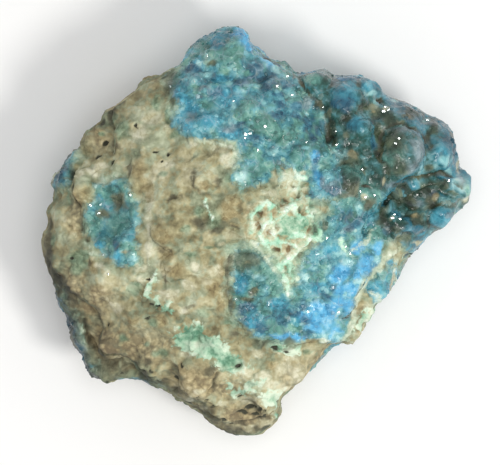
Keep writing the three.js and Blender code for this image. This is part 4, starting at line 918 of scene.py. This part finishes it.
# sizes of the stone's patterns in millimetres
patterns = {
    "broad": 4.5, "mottle": 1.7, "grain": 0.6, "ragged": 1.1, "frayed": 0.9, "warp": 1.3, "change": 2.0,
    "crystal": 1.2, "smallCrystal": 0.5, "knob": 1.3, "crumb": 0.5, "crumbly": 0.75, "fringe": 3.8,
    "veins": 1.9, "glass": 5.2, "greyGreen": 3.4, "greenDruse": 3.1, "lace": 2.6, "powder": 2.2,
}
# how fully each colour covers what it lies on; patches are laid in this order
cover = {
    "matrix": {"rust": 0.9, "crumbly": 0.75, "moss": 0.75, "creamAndPaintedLight": 0.8, "shade": 0.8},
    "druse": {
        "green": 0.85, "teal": 0.9, "azure": 0.95, "violet": 0.75, "navyAndPaintedShade": 0.85, "olive": 0.92, "aqua": 0.85,
        "rust": 0.7, "creamAndPaintedLight": 0.8,
    },
    "boxwork": 0.75, "lace": 0.25, "stain": 0.25, "fringe": 0.75, "umberAndPaintedShade": 0.8, "mintMoss": 0.6, "crack": 0.5,
    "seam": 0.85, "paintedShade": 0.85, "pit": 1.0, "sunk": 0.4,
}
# roughness of each mineral, and the fine relief that is only in the shading, in millimetres
surfaceFinish = {"matt": 0.82, "druse": 0.38, "malachite": 0.7, "ior": 1.5, "bump": 0.7, "bumpHeight": 0.25}


def stoneMaterial():
    material = bpy.data.materials.new("limonite with chrysocolla druse and malachite")
    material.use_nodes = True
    tree = material.node_tree
    tree.nodes.clear()
    flat = addNode(tree, "ShaderNodeAttribute", attribute_name="flat").outputs["Vector"]
    face = addNode(tree, "ShaderNodeAttribute", attribute_name="face").outputs["Fac"]
    truePlace = addNode(tree, "ShaderNodeTexCoord").outputs["Object"]

    def scaleOf(pattern):
        return 1 / (patterns[pattern] * mm)

    # the flanks keep their true places, with a ragged change between the two
    change = addNode(tree, "ShaderNodeTexNoise", {
        "Vector": truePlace, "Scale": scaleOf("change"), "Detail": 3.0}).outputs["Fac"]
    change = addNode(tree, "ShaderNodeMath", {0: change, 1: face}, operation="LESS_THAN").outputs[0]
    place = addNode(tree, "ShaderNodeMix", {0: change, 4: truePlace, 5: flat}, data_type="VECTOR").outputs[1]

    def noiseOf(pattern, detail=3.0, roughness=0.6, distortion=0.0):
        return addNode(tree, "ShaderNodeTexNoise", {
            "Vector": place, "Scale": scaleOf(pattern), "Detail": detail, "Roughness": roughness,
            "Distortion": distortion}).outputs["Fac"]

    def field(name):
        return addNode(tree, "ShaderNodeAttribute", attribute_name=name).outputs["Fac"]

    def calc(operation, a, b=0.0, c=0.0):
        return addNode(tree, "ShaderNodeMath", {0: a, 1: b, 2: c}, operation=operation).outputs[0]

    def blend(*parts):
        # the sum of some values, each whole or with its share
        total = 0.0
        for part in parts:
            value, share = part if isinstance(part, tuple) else (part, 1.0)
            total = calc("MULTIPLY_ADD", value, share, total)
        return total

    def edge(value, low, high):
        return addNode(tree, "ShaderNodeMapRange", {"Value": value, "From Min": low, "From Max": high},
                       interpolation_type="SMOOTHSTEP").outputs["Result"]

    def mix(factor, a, b, blendType="MIX"):
        return addNode(tree, "ShaderNodeMix", {0: factor, 6: a, 7: b}, data_type="RGBA",
                       blend_type=blendType).outputs[2]

    def between(factor, a, b):
        return addNode(tree, "ShaderNodeMix", {0: factor, 2: a, 3: b}).outputs[0]

    def ramp(value, name):
        return addNode(tree, "ShaderNodeValToRGB", {"Fac": value}, stops=stone[name]).outputs["Color"]

    def laid(under, mask, share, tone, name):
        # one colour over another, where its mask shows
        return mix(calc("MULTIPLY", mask, share), under, ramp(tone, name))

    broad = noiseOf("broad")
    mottle = noiseOf("mottle", roughness=0.5)
    grain = noiseOf("grain", 2, 0.5)
    ragged = calc("MULTIPLY_ADD", noiseOf("ragged", 4, 0.65), 2.4, -1.2)
    frayed = calc("MULTIPLY_ADD", noiseOf("frayed", 4), 0.9, -0.45)

    # crystals and granules are cells of two sizes, warped so that none is a clean polygon
    warp = addNode(tree, "ShaderNodeTexNoise", {
        "Vector": place, "Scale": scaleOf("warp"), "Detail": 2.0}).outputs["Color"]
    for operation, settings in (("SUBTRACT", {1: (0.5, 0.5, 0.5)}), ("SCALE", {"Scale": 0.2 * mm}),
                                ("ADD", {1: place})):
        warp = addNode(tree, "ShaderNodeVectorMath", {0: warp, **settings}, operation=operation).outputs[0]

    def cells(pattern, feature="F1"):
        return addNode(tree, "ShaderNodeTexVoronoi", {
            "Vector": warp, "Scale": scaleOf(pattern)}, feature=feature).outputs

    def knobs(pattern, softness=0.5):
        return addNode(tree, "ShaderNodeTexVoronoi", {
            "Vector": warp, "Scale": scaleOf(pattern), "Smoothness": softness}, feature="SMOOTH_F1").outputs

    def shadeOf(cell):
        channels = addNode(tree, "ShaderNodeSeparateColor", {"Color": cell["Color"]})
        return calc("SUBTRACT", channels.outputs["Red"], 0.5)

    coarse, fine, knob, crumb = cells("crystal"), cells("smallCrystal"), knobs("knob"), knobs("crumb")
    coarseShade, fineShade, knobShade, crumbShade = [shadeOf(cell) for cell in (coarse, fine, knob, crumb)]
    crumbs = knobs("crumbly", 0.3)
    joints = edge(cells("crystal", "DISTANCE_TO_EDGE")["Distance"], 0.1, 0.0)

    # each mask is a distance or a strength, frayed by the ragged noise
    crustAt = blend(field("crust"), (coarseShade, 0.5), ragged)
    crust = edge(crustAt, -0.5, 0.5)
    fringe = edge(calc("ABSOLUTE", calc("ADD", crustAt, 0.2)), 1.2, 0.2)
    fringe = calc("MULTIPLY", calc("MULTIPLY", fringe, face), edge(noiseOf("fringe"), 0.44, 0.6))
    wing = calc("MULTIPLY", edge(blend(field("wing"), (ragged, 1.5)), -0.8, 0.8), crust)
    veins = calc("ABSOLUTE", calc("SUBTRACT", noiseOf("veins", 3, 0.5, 0.6), 0.5))
    lichen = edge(blend(field("mint"), (ragged, 1.3), (veins, -5.0)), -0.5, 0.1)
    strands = edge(blend(field("strands"), (ragged, 0.7)), -0.2, 0.3)
    boxwork = edge(blend(field("boxwork"), ragged), -0.5, 0.4)
    walls = edge(blend(field("wall"), (ragged, 0.5)), 0.22, 0.0)
    mint = calc("MAXIMUM", lichen, calc("MULTIPLY", boxwork, calc("MULTIPLY", walls, 0.5)))
    seam = edge(blend(field("seam"), (ragged, 0.6)), -0.3, 0.25)
    crack = edge(blend(field("crack"), (ragged, 0.3)), -0.15, 0.15)

    def patch(name, low=0.0, high=0.95):
        return edge(calc("ADD", field(name), frayed), low, high)

    # each tone says how light a mineral is: the matrix's, the druse's and the smooth globules'
    tint, sunk = field("tint"), field("hollow")
    # painted light and painted shade in spots raise and lower every tone; the matrix's tone also takes in the
    # broad painted light
    lightAndShadeSpots = blend((field("light"), 0.14), (field("paintedShadeSpots"), -0.14))
    tone = blend((broad, 0.5), (mottle, 0.35), (grain, 0.3), (knobShade, 0.2), (crumbShade, 0.1),
                 (field("pale"), 0.1), (tint, 0.5), lightAndShadeSpots, -0.09)
    crisp = blend((mottle, 0.65), (grain, 0.35), (coarseShade, 0.12), (fineShade, 0.16), (joints, -0.07),
                  tint, lightAndShadeSpots)
    smooth = blend((broad, 0.3), (mottle, 0.7), (coarseShade, 0.14), (fineShade, 0.1), tint, lightAndShadeSpots)
    glass = between(calc("MAXIMUM", wing, edge(noiseOf("glass"), 0.4, 0.6)), crisp, smooth)
    crumbTone = blend((grain, 0.5), (shadeOf(crumbs), 0.22), (edge(crumbs["Distance"], 0.25, 0.6), -0.12),
                      lightAndShadeSpots, 0.25)
    powdery = blend((noiseOf("powder"), 0.8), (crisp, 0.5), lightAndShadeSpots, -0.12)

    lichenous = blend((mottle, 0.5), (noiseOf("greyGreen", 4), 0.5), (knobShade, -0.2), (crumbShade, 0.12))
    matrixColour = mix(edge(lichenous, 0.42, 0.6), ramp(tone, "tan"), ramp(tone, "greyGreen"))
    for name, share in cover["matrix"].items():
        mask, lightness = (field(name), crumbTone) if name == "crumbly" else (patch(name), crisp)
        matrixColour = laid(matrixColour, mask, share, lightness, name)
    matrixColour = laid(matrixColour, boxwork, cover["boxwork"], crisp, "bed")
    matrixColour = laid(matrixColour, patch("hollows", 0.25, 0.6), 1.0, crisp, "hollow")
    stain = edge(blend(field("crust"), ragged, (broad, 5.0)), 0.4, 2.6)
    matrixColour = laid(matrixColour, stain, cover["stain"], crisp, "moss")

    druseColour = mix(edge(noiseOf("greenDruse"), 0.46, 0.6), ramp(glass, "druse"), ramp(glass, "green"))
    druseColour = laid(druseColour, wing, 1.0, glass, "wing")
    for name, share in cover["druse"].items():
        if name == "teal":
            share = calc("MULTIPLY_ADD", wing, -0.2, share)    # less of it in the wing
        lightness = crisp if name in ("rust", "creamAndPaintedLight") else glass
        druseColour = laid(druseColour, patch(name), share, lightness, name)
    druseColour = laid(druseColour, wing, edge(sunk, 0.05, 0.45), glass, "olive")
    lace = calc("MULTIPLY", joints, edge(noiseOf("lace"), 0.5, 0.64))
    lace = calc("MULTIPLY", lace, calc("SUBTRACT", 1.0, wing))
    druseColour = mix(calc("MULTIPLY", lace, cover["lace"]), druseColour, hexColour(stone["lace"]))

    colour = mix(crust, matrixColour, druseColour)
    colour = laid(colour, fringe, cover["fringe"], crisp, "fringe")
    colour = laid(colour, patch("umberAndPaintedShade"), cover["umberAndPaintedShade"], glass, "umberAndPaintedShade")
    colour = laid(colour, mint, 1.0, powdery, "mint")
    colour = laid(colour, calc("MULTIPLY", mint, patch("moss")), cover["mintMoss"], crisp, "moss")
    # painted shade: a dark line along each crack
    colour = laid(colour, crack, cover["crack"], crisp, "shade")
    colour = laid(colour, strands, 1.0, crisp, "strand")
    colour = laid(colour, seam, cover["seam"], crisp, "seam")
    # painted shade: a multiply darkens the shaded flanks and, by how sunk they are, the hollows; the pits are
    # laid in their own dark colour
    for name, mask, blendType in (
            ("paintedShade", field("paintedShade"), "MULTIPLY"), ("pit", patch("pit", 0.2, 0.6), "MIX"),
            ("sunk", edge(sunk, 0.02, 0.4), "MULTIPLY")):
        colour = mix(calc("MULTIPLY", mask, cover[name]), colour, hexColour(stone[name]), blendType)

    dull = calc("MULTIPLY_ADD", grain, 0.1, surfaceFinish["matt"])
    glossy = blend((fineShade, 0.4), (wing, -0.08), surfaceFinish["druse"])
    roughness = between(crust, dull, glossy)
    roughness = between(calc("MAXIMUM", mint, strands), roughness, surfaceFinish["malachite"])
    pebbly = blend((knob["Distance"], -1.6), (crumb["Distance"], -0.6),
                   (calc("MULTIPLY", field("crumbly"), crumbs["Distance"]), -0.7))
    crystal = blend((coarse["Distance"], -0.6), (fine["Distance"], -0.35))
    height = blend((mottle, 0.5), (grain, 0.4), between(crust, pebbly, crystal))
    bump = addNode(tree, "ShaderNodeBump", {
        "Height": height, "Strength": surfaceFinish["bump"], "Distance": surfaceFinish["bumpHeight"] * mm})
    surface = addNode(tree, "ShaderNodeBsdfPrincipled", {
        "Base Color": colour, "Roughness": roughness, "Normal": bump.outputs["Normal"],
        "IOR": surfaceFinish["ior"]})
    addNode(tree, "ShaderNodeOutputMaterial", {"Surface": surface.outputs["BSDF"]})
    return material


# small grains that stand on the lump: sizes in millimetres, density to the square millimetre
grains = {
    "druse_crystals": {
        "where": "druseGrains", "apart": 0.6, "density": 3.0, "size": (0.6, 1.25), "flatness": (0.6, 1.0),
        "sunk": 0.27, "tint": (-0.08, 0.14), "seed": 3, "slot": "druse",
    },
    "earth_grains": {
        "where": "earthGrains", "apart": 0.9, "density": 0.9, "size": (0.6, 1.5), "flatness": (0.5, 1.0),
        "sunk": 0.36, "tint": (-0.05, 0.07), "seed": 8, "slot": "matrix",
    },
}
# clear crystals that catch the light: x, y, length
quartz = {
    "places": [
        (1.2, 14.8, 0.5), (-1.5, 13.7, 0.5), (-0.9, 13.8, 0.4), (-1.6, 13.2, 0.3), (0.2, 11.5, 0.45),
        (-8.7, 21.2, 0.35), (2.9, 20.5, 0.5), (5.0, 19.3, 0.35), (-12.1, 20.5, 0.35), (18.3, 17.7, 0.6),
        (18.0, 17.1, 0.6), (18.7, 17.3, 0.4), (21.4, 17.9, 0.4), (24.3, 15.9, 0.4), (11.2, 14.2, 0.3),
        (11.3, 12.3, 0.35), (19.6, 12.5, 0.45), (20.1, 13.2, 0.35), (27.3, 7.3, 0.4), (15.3, 4.9, 0.4),
        (14.6, 5.7, 0.35), (16.6, 5.2, 0.35), (19.2, 2.0, 0.6), (19.5, 2.5, 0.3), (20.3, 1.9, 0.45),
        (9.9, -0.8, 0.35), (11.6, -11.3, 0.4), (7.3, -11.2, 0.4), (-22.2, 2.7, 0.45), (-23.4, 3.8, 0.4),
        (-17.7, 5.2, 0.4), (-21.5, -3.2, 0.4), (-20.8, -5.9, 0.3), (4.4, 22.0, 0.3), (7.0, 12.6, 0.3),
        (-6.9, 24.9, 0.3), (9.4, 17.6, 0.3), (13.2, -3.0, 0.4), (12.6, -2.0, 0.3), (2.6, 15.6, 0.25),
        (-3.2, 18.4, 0.3), (14.9, 8.8, 0.3),
    ],
    "dropFrom": 100,       # height from which each crystal is dropped onto the druse
    "height": 0.22,        # how far a crystal stands out
    "lean": 16.3,          # degrees from upright, towards the lower right
    "towards": -35,
    "seed": 5,
}


def scatterGrains(name, host, material):
    # grains laid out by geometry nodes and then made real
    spec = grains[name]
    tree = bpy.data.node_groups.new(name, "GeometryNodeTree")
    for side in ("INPUT", "OUTPUT"):
        tree.interface.new_socket("Geometry", in_out=side, socket_type="NodeSocketGeometry")

    def chance(low, high, seed):
        # a random number or vector, whose sockets have places of their own in the node
        vector = isinstance(low, tuple)
        first = 0 if vector else 2
        node = addNode(tree, "FunctionNodeRandomValue", {first: low, first + 1: high, 8: seed},
                       data_type="FLOAT_VECTOR" if vector else "FLOAT")
        return node.outputs[0 if vector else 1]

    surface = addNode(tree, "NodeGroupInput").outputs[0]
    share = addNode(tree, "GeometryNodeInputNamedAttribute", {"Name": spec["where"]},
                    data_type="FLOAT").outputs[0]
    points = addNode(tree, "GeometryNodeDistributePointsOnFaces", {
        "Mesh": surface, "Distance Min": spec["apart"] * mm, "Density Max": spec["density"] / mm ** 2,
        "Density Factor": share, "Seed": spec["seed"]}, distribute_method="POISSON").outputs
    down = addNode(tree, "ShaderNodeVectorMath", {0: points["Normal"], "Scale": -spec["sunk"] * mm},
                   operation="SCALE").outputs[0]
    points = addNode(tree, "GeometryNodeSetPosition", {
        "Geometry": points["Points"], "Offset": down}).outputs[0]
    grain = addNode(tree, "GeometryNodeMeshIcoSphere", {
        "Radius": 0.5 * mm, "Subdivisions": 1}).outputs["Mesh"]
    turn = chance((0.0, 0.0, 0.0), (2 * math.pi,) * 3, spec["seed"] + 1)
    low, high = spec["size"]
    flat, full = spec["flatness"]
    stretch = chance((flat, flat, flat), (full, full, full), spec["seed"] + 2)
    scale = addNode(tree, "ShaderNodeVectorMath", {0: stretch, "Scale": chance(low, high, spec["seed"] + 3)},
                    operation="SCALE").outputs[0]
    placed = addNode(tree, "GeometryNodeInstanceOnPoints", {
        "Points": points, "Instance": grain, "Rotation": turn, "Scale": scale}).outputs[0]
    tinted = addNode(tree, "GeometryNodeStoreNamedAttribute", {
        "Geometry": placed, "Name": "tint", "Value": chance(*spec["tint"], spec["seed"] + 4)},
        data_type="FLOAT", domain="INSTANCE").outputs[0]
    made = addNode(tree, "GeometryNodeRealizeInstances", {"Geometry": tinted}).outputs[0]
    addNode(tree, "NodeGroupOutput", {0: made})

    modifier = host.modifiers.new(name, "NODES")
    modifier.node_group = tree
    mesh = bpy.data.meshes.new_from_object(host.evaluated_get(bpy.context.evaluated_depsgraph_get()))
    host.modifiers.remove(modifier)
    mesh.name = name
    mesh.materials.clear()
    mesh.materials.append(material)
    mesh.vertices.foreach_set("co", (heldInBox(placesOf(mesh), give=0.6) * mm).ravel())
    addPiece(name, mesh)


def plainMaterial(name, settings):
    material = bpy.data.materials.new(name)
    material.use_nodes = True
    surface = material.node_tree.nodes["Principled BSDF"]
    for socket, value in settings.items():
        surface.inputs[socket].default_value = value
    return material


def buildQuartz(host):
    # six-sided crystals bedded in the druse, whose ends face much the same way
    chance = random.Random(quartz["seed"])
    tree = BVHTree.FromObject(host, bpy.context.evaluated_depsgraph_get())
    towards = Matrix.Rotation(math.radians(quartz["towards"]), 4, "Z") @ Vector((1, 0, 0))
    lean = Matrix.Rotation(math.radians(quartz["lean"]), 4, Vector((0, 0, 1)).cross(towards))
    bm = bmesh.new()
    for x, y, length in quartz["places"]:
        foot = tree.ray_cast(Vector((x, y, quartz["dropFrom"])) * mm, Vector((0, 0, -1)))[0]
        if foot is None:
            continue
        turn = Matrix.Rotation(chance.uniform(0, math.pi), 4, "Z")
        sway = Matrix.Rotation(math.radians(chance.uniform(-2, 2)), 4, "X")
        stretch = Matrix.Diagonal((1, chance.uniform(0.5, 0.8), 1, 1))
        bmesh.ops.create_cone(
            bm, cap_ends=True, segments=6, radius1=0.6 * length * mm, radius2=0.5 * length * mm,
            depth=2 * quartz["height"] * mm, matrix=Matrix.Translation(foot) @ lean @ sway @ turn @ stretch)
    mesh = bpy.data.meshes.new("quartz_crystals")
    bm.to_mesh(mesh)
    bm.free()
    # clear colourless quartz, whose grown faces are mirror-smooth and bright
    mesh.materials.append(plainMaterial("clear drusy quartz", {
        "Base Color": hexColour("#d6ebe8"), "Roughness": 0.08, "IOR": 1.54, "Transmission Weight": 0.4}))
    addPiece("quartz_crystals", mesh)


specimen = buildLump()
finish = stoneMaterial()
specimen.data.materials.append(finish)
for name in grains:
    scatterGrains(name, specimen, finish)
buildQuartz(specimen)

# floor, light and camera, in millimetres
studio = {
    "floorSize": 5000,
    "cameraHeight": 900,
    "aim": (-0.86, -0.07),     # where the frame's middle falls on the specimen
    "frameWidth": 71.4,        # what the frame takes in at the height of the specimen's widest line
    "widestLine": 14,
    "lights": [
        # place, size across, share of a white floor's brightness that it gives, colour
        {"at": (330, -230, 600), "size": 150, "share": 0.36, "colour": "#fffdf8"},
        {"at": (30, -10, 720), "size": 300, "share": 0.26, "colour": "#ffffff"},
    ],
    "sky": ("#ffffff", 0.55),
}


def buildStudio():
    scene = bpy.context.scene
    bm = bmesh.new()
    bmesh.ops.create_grid(bm, x_segments=1, y_segments=1, size=studio["floorSize"] * mm)
    mesh = bpy.data.meshes.new("floor")
    bm.to_mesh(mesh)
    bm.free()
    floor = bpy.data.objects.new("floor", mesh)
    scene.collection.objects.link(floor)
    # matt white card, uncoated, so it shows no reflection
    mesh.materials.append(plainMaterial("matt white card", {
        "Base Color": hexColour("#f6f6f6"), "Roughness": 0.9}))

    for number, lamp in enumerate(studio["lights"]):
        light = bpy.data.lights.new(f"softbox{number}", "AREA")
        light.shape = "DISK"
        light.size = lamp["size"] * mm
        light.color = hexColour(lamp["colour"])[:3]
        holder = bpy.data.objects.new(light.name, light)
        holder.location = [value * mm for value in lamp["at"]]
        distance = holder.location.length
        light.energy = lamp["share"] * math.pi ** 2 * distance ** 3 / holder.location.z
        holder.rotation_euler = (-holder.location).to_track_quat("-Z", "Y").to_euler()
        scene.collection.objects.link(holder)

    world = bpy.data.worlds.new("studio")
    world.use_nodes = True
    background = world.node_tree.nodes["Background"]
    background.inputs["Color"].default_value = hexColour(studio["sky"][0])
    background.inputs["Strength"].default_value = studio["sky"][1]
    scene.world = world

    camera = bpy.data.cameras.new("camera")
    distance = studio["cameraHeight"] - studio["widestLine"]
    camera.lens = camera.sensor_width * distance / studio["frameWidth"]
    holder = bpy.data.objects.new("camera", camera)
    holder.location = (studio["aim"][0] * mm, studio["aim"][1] * mm, studio["cameraHeight"] * mm)
    scene.collection.objects.link(holder)
    scene.camera = holder
    scene.view_settings.view_transform = "Standard"
    print("studio: lens", round(camera.lens))


buildStudio()
